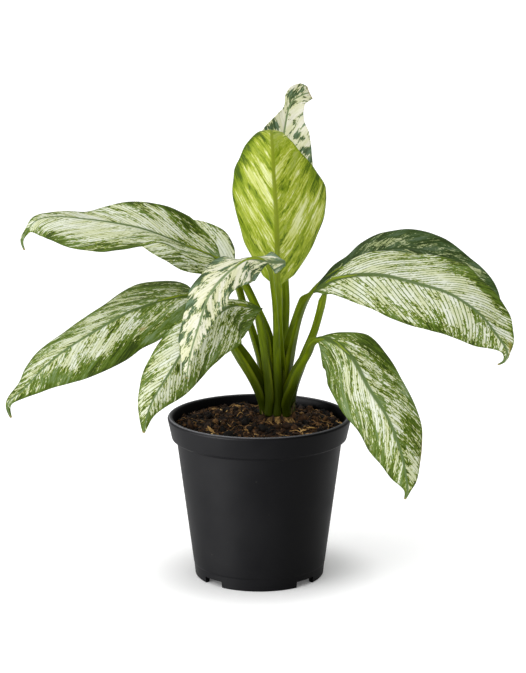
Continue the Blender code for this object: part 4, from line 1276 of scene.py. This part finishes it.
@dataclass
class NurseryPot:
    """The thin-walled pot: one moulding with a stepped rim, foot notches and drain holes."""

    height: float = 107.0
    rim_radius: float = 60.0
    band_radius: float = 57.0
    band_depth: float = 15.0
    rim_inner_radius: float = 56.6
    top_radius: float = 54.2
    base_radius: float = 42.3
    wall: float = 1.5
    floor_underside: float = 5.4
    floor_top: float = 7.2
    foot_inner_radius: float = 38.8
    notch: tuple[float, float, float] = (12.0, 15.0, 8.6)
    notch_turns: tuple[int, ...] = (45, 135, 225, 315)
    drain_radius: float = 4.0
    drain_circle: float = 30.0
    centre_drain_radius: float = 5.0
    around: int = 192
    skin: Polypropylene = Polypropylene()

    def body_radius(self, height: float) -> float:
        """Outer radius of the tapered body at a height."""
        share = height / (self.height - self.band_depth)
        return self.base_radius + (self.top_radius - self.base_radius) * share

    def section(self) -> Array:
        """The section along the inner floor, up the inner wall, over the lip and down the outside."""
        top, band = self.height, self.height - self.band_depth
        inner = self.body_radius(self.floor_top) - self.wall
        return rounded(
            (
                (0.0, self.floor_top), (inner - 1.6, self.floor_top), (inner + 0.1, self.floor_top + 1.4),
                (self.body_radius(band - 2) - self.wall, band - 2), (self.band_radius - 2.4, band + 0.5),
                (self.rim_inner_radius - 0.4, top - 2.6), (self.rim_inner_radius, top - 0.9),
                (self.rim_inner_radius + 0.9, top - 0.2), (self.rim_inner_radius + 1.9, top),
                (self.rim_radius - 0.6, top - 0.5), (self.rim_radius, top - 1.6),
                (self.band_radius + 0.2, band + 0.6), (self.band_radius - 0.5, band),
                (self.top_radius + 0.3, band - 0.4), (self.body_radius(band - 1.4), band - 1.4),
                (self.body_radius(9.0), 9.0), (self.body_radius(8.2) - 0.2, 8.2),
                (self.base_radius + 0.1, 0.6), (self.base_radius - 0.4, 0.0), (self.foot_inner_radius + 0.3, 0.0),
                (self.foot_inner_radius, self.floor_underside), (0.0, self.floor_underside),
            ),
            0.7,
        )

    def cutters(self) -> list[bpy.types.Object]:
        """The boxes of the notches and the cylinders of the drain holes, as solids to take away."""
        made = []
        ring = (self.base_radius + self.foot_inner_radius) / 2
        middle = (self.floor_underside + self.floor_top) / 2
        spots = [(self.drain_circle, turn, self.drain_radius) for turn in self.notch_turns]
        for reach, turn, radius in spots + [(0.0, 0, self.centre_drain_radius)]:
            rings = turned(np.array([(radius, -4.0), (radius, 4.0)]), 40)
            angle = math.radians(turn)
            rings = rings + np.array([reach * math.cos(angle), reach * math.sin(angle), middle])
            made.append(mesh_of("hole", tube(rings)))
        deep, wide, high = (size / 2 for size in self.notch)
        for turn in self.notch_turns:
            angle = math.radians(turn)
            square = np.array([(-deep, -wide), (deep, -wide), (deep, wide), (-deep, wide)])
            x = ring * math.cos(angle) + square[:, 0] * math.cos(angle) - square[:, 1] * math.sin(angle)
            y = ring * math.sin(angle) + square[:, 0] * math.sin(angle) + square[:, 1] * math.cos(angle)
            rings = np.array([np.stack([x, y, np.full(4, z)], axis=1) for z in (-high, high)])
            made.append(mesh_of("notch", tube(rings)))
        objects = [bpy.data.objects.new(mesh.name, mesh) for mesh in made]
        for item in objects:
            bpy.context.scene.collection.objects.link(item)
        return objects

    def build(self) -> None:
        """Turns the section, takes the notches and holes away, and dresses the pot."""
        surface = tube(turned(self.section()[1:-1], self.around))
        pot = bpy.data.objects.new("nursery_pot", mesh_of("nursery_pot", surface))
        bpy.context.scene.collection.objects.link(pot)
        cutters = self.cutters()
        for cutter in cutters:
            cut = pot.modifiers.new(cutter.name, "BOOLEAN")
            cut.object = cutter
            cut.operation = "DIFFERENCE"
            cut.solver = "EXACT"
        depsgraph = bpy.context.evaluated_depsgraph_get()
        finished = bpy.data.meshes.new_from_object(pot.evaluated_get(depsgraph))
        pot.modifiers.clear()
        pot.data = finished
        for cutter in cutters:
            bpy.data.objects.remove(cutter)
        finished.materials.clear()
        finished.materials.append(self.skin.material())
        finished.set_sharp_from_angle(angle=math.radians(35))
        settle(pot, "pot")


def pebble(rings: int = 4, around: int = 7) -> tuple[Array, Array]:
    """A ball of a few dozen faces that crumbs and flakes are shaped from.

    Args:
        rings: rings of points between the two poles.
        around: points in each ring.

    Returns:
        Its points, and four point numbers for each face.
    """
    tall = math.pi * np.arange(1, rings + 1) / (rings + 1)
    ball = tube(turned(np.stack([np.sin(tall), np.cos(tall)], axis=1), around))
    poles = np.array([[0.0, 0.0, 1.0], [0.0, 0.0, -1.0]])
    return np.vstack([ball.points[:-2] / MM, poles]), ball.faces


def turned_any_way(random: np.random.Generator, count: int) -> Array:
    """Rotations in any direction, from unit quaternions: one 3 by 3 matrix for each."""
    w, x, y, z = unit(random.normal(size=(count, 4))).T
    return np.array(
        [
            [1 - 2 * (y * y + z * z), 2 * (x * y - z * w), 2 * (x * z + y * w)],
            [2 * (x * y + z * w), 1 - 2 * (x * x + z * z), 2 * (y * z - x * w)],
            [2 * (x * z - y * w), 2 * (y * z + x * w), 1 - 2 * (x * x + y * y)],
        ]
    ).transpose(2, 0, 1)


@dataclass
class SoilBed:
    """The potting mix: a rough mound, and crumbs, bark flakes and fibres that lie on it."""

    edge_radius: float = 54.1
    edge_height: float = 101.0
    crown_height: float = 106.2
    around: int = 300
    rows: int = 110
    crumb_count: int = 2300
    flake_count: int = 120
    fibre_count: int = 150
    seed: int = 11
    mix: PottingMix = PottingMix()
    bark: DryFibre = DryFibre()

    def height(self, radius: Array) -> Array:
        """Height of the mound at a distance from the axis, before its lumps are added."""
        places = (0.0, 14.0, 27.0, 40.0, 50.0, 54.6)
        drops = (0.0, 0.2, 1.4, 3.2, 4.5, 5.2)
        return self.crown_height - np.interp(radius, places, drops)

    def ground(self, x: Array, y: Array) -> Array:
        """Height of the rough surface: the mound, lumps of 14 mm and 5 mm, and a grain of 2 mm."""
        place = np.stack([x, y, np.zeros_like(x)], axis=-1)
        radius = np.hypot(x, y)
        rough = 1.5 * lumps(place, 13.0, self.seed, 2) + 1.3 * lumps(place, 5.0, self.seed + 3, 2)
        rough = rough + 0.7 * lumps(place, 2.0, self.seed + 5, 2)
        pit = 1.8 * np.exp(-(((x - 12.0) / 15.0) ** 2) - ((y + 8.0) / 7.0) ** 2)
        return self.height(radius) - 0.5 - pit + rough * (1 - 0.4 * ease(50.0, 54.0, radius))

    def bed(self) -> Surface:
        """The mound over a plain body that follows the inside of the pot."""
        reach = self.edge_radius * np.linspace(0.01, 1.0, self.rows) ** 0.8
        rings = turned(np.stack([reach, np.zeros(self.rows)], axis=1), self.around)
        rings[:, :, 2] = self.ground(rings[:, :, 0], rings[:, :, 1])
        low = turned(np.array([(53.9, 99.0), (52.2, 92.0), (41.8, 8.9), (40.0, 7.7)]), self.around)
        rings = np.vstack([rings, low])
        tone = lumps(rings, 6.0, self.seed + 9, 2)
        return tube(rings, marks={"tone": tone})

    def strewn(self, random: np.random.Generator, count: int, sizes: Array, sink: float, flat: bool) -> Surface:
        """Lumps strewn over the bed, each a ball that is stretched, roughened and turned.

        Args:
            random: where the places and turns come from.
            count: how many.
            sizes: three half sizes for each, in millimetres.
            sink: how far each centre lies above the ground, as a share of its smallest half size.
            flat: whether they lie flat.

        Returns:
            One surface with all of them.
        """
        ball, faces = pebble()
        radius = (self.edge_radius - 1.2) * np.sqrt(random.uniform(0.004, 1.0, count))
        turn = random.uniform(0, 2 * math.pi, count)
        x, y = radius * np.cos(turn), radius * np.sin(turn)
        centre = np.stack([x, y, self.ground(x, y) + sink * sizes.min(axis=1)], axis=1)
        rough = 1 + 0.6 * lumps(ball[None] + 9.0 * np.arange(count)[:, None, None], 0.9, self.seed + 7, 2)
        shapes = ball[None] * rough[:, :, None] * sizes[:, None, :]
        if flat:
            tilt, spin = random.normal(0, 0.35, (2, count)), random.uniform(0, 2 * math.pi, count)
            shapes[:, :, 2] += shapes[:, :, 0] * tilt[0][:, None] + shapes[:, :, 1] * tilt[1][:, None]
            cos, sin = np.cos(spin)[:, None], np.sin(spin)[:, None]
            east, north = shapes[:, :, 0] * cos - shapes[:, :, 1] * sin, shapes[:, :, 0] * sin + shapes[:, :, 1] * cos
            shapes = np.stack([east, north, shapes[:, :, 2]], axis=-1)
        else:
            shapes = np.einsum("nij,nkj->nki", turned_any_way(random, count), shapes)
        points = (shapes + centre[:, None]).reshape(-1, 3)
        every = (faces[None] + len(ball) * np.arange(count)[:, None, None]).reshape(-1, 4)
        tone = np.repeat(random.normal(0, 0.55, count), len(ball))
        return outward(Surface(points * MM, every, None, {"tone": tone}, smooth=False))

    def fibres(self, random: np.random.Generator) -> Surface:
        """Thin bent fibres: each follows an arc that rises a little from the ground."""
        made = []
        for _ in range(self.fibre_count):
            radius = 51.0 * math.sqrt(random.uniform(0.01, 1.0))
            turn, heading = random.uniform(0, 2 * math.pi, 2)
            length, bend = random.uniform(5.0, 17.0), random.normal(0, 0.09)
            t = np.linspace(-0.5, 0.5, 12)
            angle = heading + bend * length * t
            x = radius * math.cos(turn) + length * np.cumsum(np.cos(angle)) / 12
            y = radius * math.sin(turn) + length * np.cumsum(np.sin(angle)) / 12
            inside = np.minimum(1.0, 53.0 / np.maximum(np.hypot(x, y), 1.0))
            x, y = x * inside, y * inside
            lift = 0.5 + random.uniform(0.0, 2.2) * (1 - (2 * t) ** 2)
            line = np.stack([x, y, self.ground(x, y) + lift], axis=1)
            thick = random.uniform(0.11, 0.3) * (1 - 0.7 * np.abs(2 * t) ** 3)
            around = np.linspace(0, 2 * math.pi, 5, endpoint=False)
            side = unit(np.cross(np.gradient(line, axis=0), (0.0, 0.0, 1.0)))
            up = unit(np.cross(side, np.gradient(line, axis=0)))
            rings = line[:, None] + thick[:, None, None] * (
                np.cos(around)[None, :, None] * side[:, None] + np.sin(around)[None, :, None] * up[:, None]
            )
            made.append(tube(rings, marks={"tone": np.full(rings.shape[:2], random.normal(0.25, 0.3))}))
        return merged(made)

    def build(self) -> None:
        """Makes the bed and what lies on it."""
        random = np.random.default_rng(self.seed)
        look = self.mix.material()
        dry = self.bark.material()
        piece("soil_bed", self.bed(), look, "soil", "soil")
        size = random.lognormal(-0.4, 0.6, self.crumb_count).clip(0.3, 3.4)
        sizes = size[:, None] * random.uniform(0.5, 1.3, (self.crumb_count, 3))
        piece("soil_crumbs", self.strewn(random, self.crumb_count, sizes, 0.35, False), look, "", "soil")
        long = random.uniform(1.1, 3.4, self.flake_count)
        flakes = np.stack([long, long * random.uniform(0.3, 0.6, self.flake_count), 0.16 + 0.12 * long], axis=1)
        piece("bark_flakes", self.strewn(random, self.flake_count, flakes, 1.6, True), dry, "", "soil")
        piece("soil_fibres", self.fibres(random), dry, "", "soil")


@dataclass
class RootCrown:
    """The low crown that the stalks grow from, with its root stubs and old sheath scales."""

    centre: tuple[float, float, float] = (11.8, 4.0, 103.5)
    radii: tuple[float, float, float] = (12.5, 10.0, 6.5)
    turns: tuple[int, ...] = (-165, -146, -128, -114, -101, -88, -75, -61, -46, -28, -8, 40, 95, 150)
    rise: float = 4.4
    root_length: float = 18.0
    root_radius: float = 1.35
    scale_turns: tuple[int, ...] = (-165, -20, 30, 100, 160)
    seed: int = 5

    def dome(self) -> Surface:
        """A stretched ball with knuckles: its radius swells and sinks by a tenth every few millimetres."""
        tall = np.linspace(0.03, math.pi - 0.03, 60)[:, None]
        turn = np.linspace(0, 2 * math.pi, 96, endpoint=False)[None, :]
        ball = np.stack([np.sin(tall) * np.cos(turn), np.sin(tall) * np.sin(turn), np.cos(tall) + 0 * turn], -1)
        rough = 1 + 0.1 * lumps(ball * 10, 4.5, self.seed, 3)
        points = np.array(self.centre) + ball * np.array(self.radii) * rough[:, :, None]
        return tube(points, marks={"tone": lumps(points, 3.0, self.seed, 2) - 0.25})

    def roots(self) -> list[Surface]:
        """Root stubs that leave the crown level and bend down into the soil."""
        random = np.random.default_rng(self.seed)
        made = []
        for turn in self.turns:
            t = np.linspace(0.0, 1.0, 26)
            angle = math.radians(turn) + 0.35 * random.normal() * t
            reach = self.root_length * t * random.uniform(0.85, 1.05)
            start = np.array(self.centre) + np.array([0.0, 0.0, self.rise])
            down = -0.16 * reach - 0.012 * reach**2
            line = start + np.stack([reach * np.cos(angle), reach * np.sin(angle), down], axis=1)
            around = np.linspace(0, 2 * math.pi, 16, endpoint=False)
            side = unit(np.cross(np.gradient(line, axis=0), (0.0, 0.0, 1.0)))
            up = unit(np.cross(side, np.gradient(line, axis=0)))
            out = np.cos(around)[None, :, None] * side[:, None] + np.sin(around)[None, :, None] * up[:, None]
            thick = self.root_radius * (1 - 0.45 * t**2)[:, None, None]
            rough = 1 + 0.22 * lumps(line[:, None] + out, 1.6, self.seed + turn % 7, 2)[:, :, None]
            rings = line[:, None] + out * thick * rough
            made.append(tube(rings, marks={"tone": 0.35 + lumps(rings, 2.0, self.seed, 2) * 0.5}))
        return made

    def scales(self) -> list[Surface]:
        """Papery remains of old sheaths, each a thin leaning tongue curved round the stalks."""
        random = np.random.default_rng(self.seed + 1)
        made = []
        for turn in self.scale_turns:
            t = np.linspace(0.0, 1.0, 22)[:, None]
            across = np.linspace(-1.0, 1.0, 15)[None, :]
            high = random.uniform(5.0, 10.0)
            half = random.uniform(0.28, 0.42) * (1 - t**2.5) ** 0.7 + 0.01
            angle = math.radians(turn) + across * half + 0.12 * t * random.normal()
            torn = 0.8 * lumps(np.stack([across * 3 + 0 * t, t * 2 + 0 * across, 0 * t * across + turn], -1), 1.0, 3, 2)
            lean = 1.0 + 0.1 * t + 0.05 * t**2 * random.uniform(-1, 3) + 0.03 * torn * t
            x = self.centre[0] + (self.radii[0] - 2.0) * lean * np.cos(angle)
            y = self.centre[1] + (self.radii[1] - 1.6) * lean * np.sin(angle)
            z = self.centre[2] + 2.0 + high * t + torn * t
            front = np.stack([x, y, z + 0 * across], axis=-1)
            toward = unit(np.array([self.centre[0], self.centre[1], 0.0]) - front * np.array([1, 1, 0]))
            rings = np.concatenate([front, (front + 0.3 * toward)[:, ::-1]], axis=1)
            tone = 0.2 + 0.5 * lumps(rings * np.array([3, 3, 0.6]), 2.5, self.seed + 2, 2)
            made.append(tube(rings, marks={"tone": tone}))
        return made

    def build(self) -> None:
        """Makes the crown and its scales."""
        skin = DryFibre("root skin", pale="a8844e", brown="5c4420").material()
        piece("root_crown", merged([self.dome(), *self.roots()]), skin, "crown", "root_crown")
        paper = DryFibre("dry sheath", pale="a58c4a", brown="5f5a24").material()
        piece("old_sheaths", merged(self.scales()), paper, "", "root_crown")


@dataclass
class Studio:
    """The floor, the lights and the camera."""

    floor_colour: str = "f4f4f4"
    camera: tuple[float, float, float] = (2.4, -1300.0, 436.0)
    camera_tilt: float = 77.98
    lens: float = 109.7
    target: tuple[float, float, float] = (0.0, 0.0, 0.15)
    lamps: tuple[tuple[str, str, tuple[float, float, float], float, float], ...] = (
        ("key", "SUN", (-0.45, -0.5, 1.6), 70.0, 1.4),
        ("side", "AREA", (-1.2, -0.8, 0.6), 1.0, 9.0),
        ("back", "SUN", (0.5, 0.9, 1.4), 50.0, 0.3),
        ("pot_strip", "AREA", (-0.72, -0.5, 0.12), 0.4, 44.0),
    )
    world_strength: float = 0.48
    # the floor glows, and glows less near the pot: a painted contact shadow
    floor_glow: tuple[float, float] = (0.08, 0.38)
    painted_shadow_radii: tuple[float, float] = (0.042, 0.09)

    def floor(self) -> None:
        """A pale floor that reaches past the view and glows; the glow is weaker near the pot, which paints a soft
        contact shadow round it.
        """
        floor = bpy.data.objects.new("floor", bpy.data.meshes.new("floor"))
        side = 20.0
        floor.data.from_pydata([(-side, -side, 0), (side, -side, 0), (side, side, 0), (-side, side, 0)], [], [(0, 1, 2, 3)])
        bpy.context.scene.collection.objects.link(floor)
        s = Shading("glowing paper with painted shadow")
        away = s.add("VectorMath", {0: s.add("TexCoord", out="Object")}, "Value", operation="LENGTH")
        # painted shadow: less glow within these radii of the pot's axis
        low, high = self.painted_shadow_radii
        inputs = {0: away, 1: low, 2: high, 3: self.floor_glow[0], 4: self.floor_glow[1]}
        glow = s.add("MapRange", inputs, interpolation_type="SMOOTHSTEP")
        paper = {"Base Color": self.floor_colour, "Roughness": 0.9}
        floor.data.materials.append(s.finish(paper | {"Emission Color": "ffffff", "Emission Strength": glow}))

    def lights(self) -> None:
        """A far soft key and back light, a soft box beside the pot, and an even pale surround."""
        for name, kind, place, size, power in self.lamps:
            lamp = bpy.data.lights.new(name, kind)
            if kind == "SUN":
                lamp.angle = math.radians(size)
            else:
                lamp.size = size
            lamp.energy = power
            box = bpy.data.objects.new(name, lamp)
            box.location = place
            box.rotation_euler = (Vector(self.target) - Vector(place)).to_track_quat("-Z", "Y").to_euler()
            bpy.context.scene.collection.objects.link(box)
            if name == "pot_strip":
                lit = bpy.data.collections.new("lit by the strip")
                lit.objects.link(bpy.data.objects["nursery_pot"])
                box.light_linking.receiver_collection = lit
        world = bpy.data.worlds.new("surround")
        world.use_nodes = True
        world.node_tree.nodes["Background"].inputs["Strength"].default_value = self.world_strength
        world.node_tree.nodes["Background"].inputs["Color"].default_value = (1, 1, 1, 1)
        bpy.context.scene.world = world

    def shoot_from(self) -> None:
        """The camera, a little above the plant and far away, looking slightly down."""
        data = bpy.data.cameras.new("camera")
        data.lens = self.lens
        data.sensor_width = 36.0
        data.clip_end = 100.0
        eye = bpy.data.objects.new("camera", data)
        eye.location = Vector(self.camera) * MM
        eye.rotation_euler = (math.radians(self.camera_tilt), 0.0, 0.0)
        bpy.context.scene.collection.objects.link(eye)
        bpy.context.scene.camera = eye
        bpy.context.scene.view_settings.view_transform = "Standard"

    def build(self) -> None:
        """Sets the whole stage."""
        self.floor()
        self.lights()
        self.shoot_from()


def main() -> None:
    """Builds the pot, its soil, the plant and the stage, and notes the sizes."""
    logging.basicConfig(level=logging.INFO, format="%(message)s")
    NurseryPot().build()
    SoilBed().build()
    RootCrown().build()
    for number, (name, shape) in enumerate(LEAVES.items()):
        Leaf(name, shape, seed=number + 1).build()
    Studio().build()


if __name__ == "__main__":
    main()
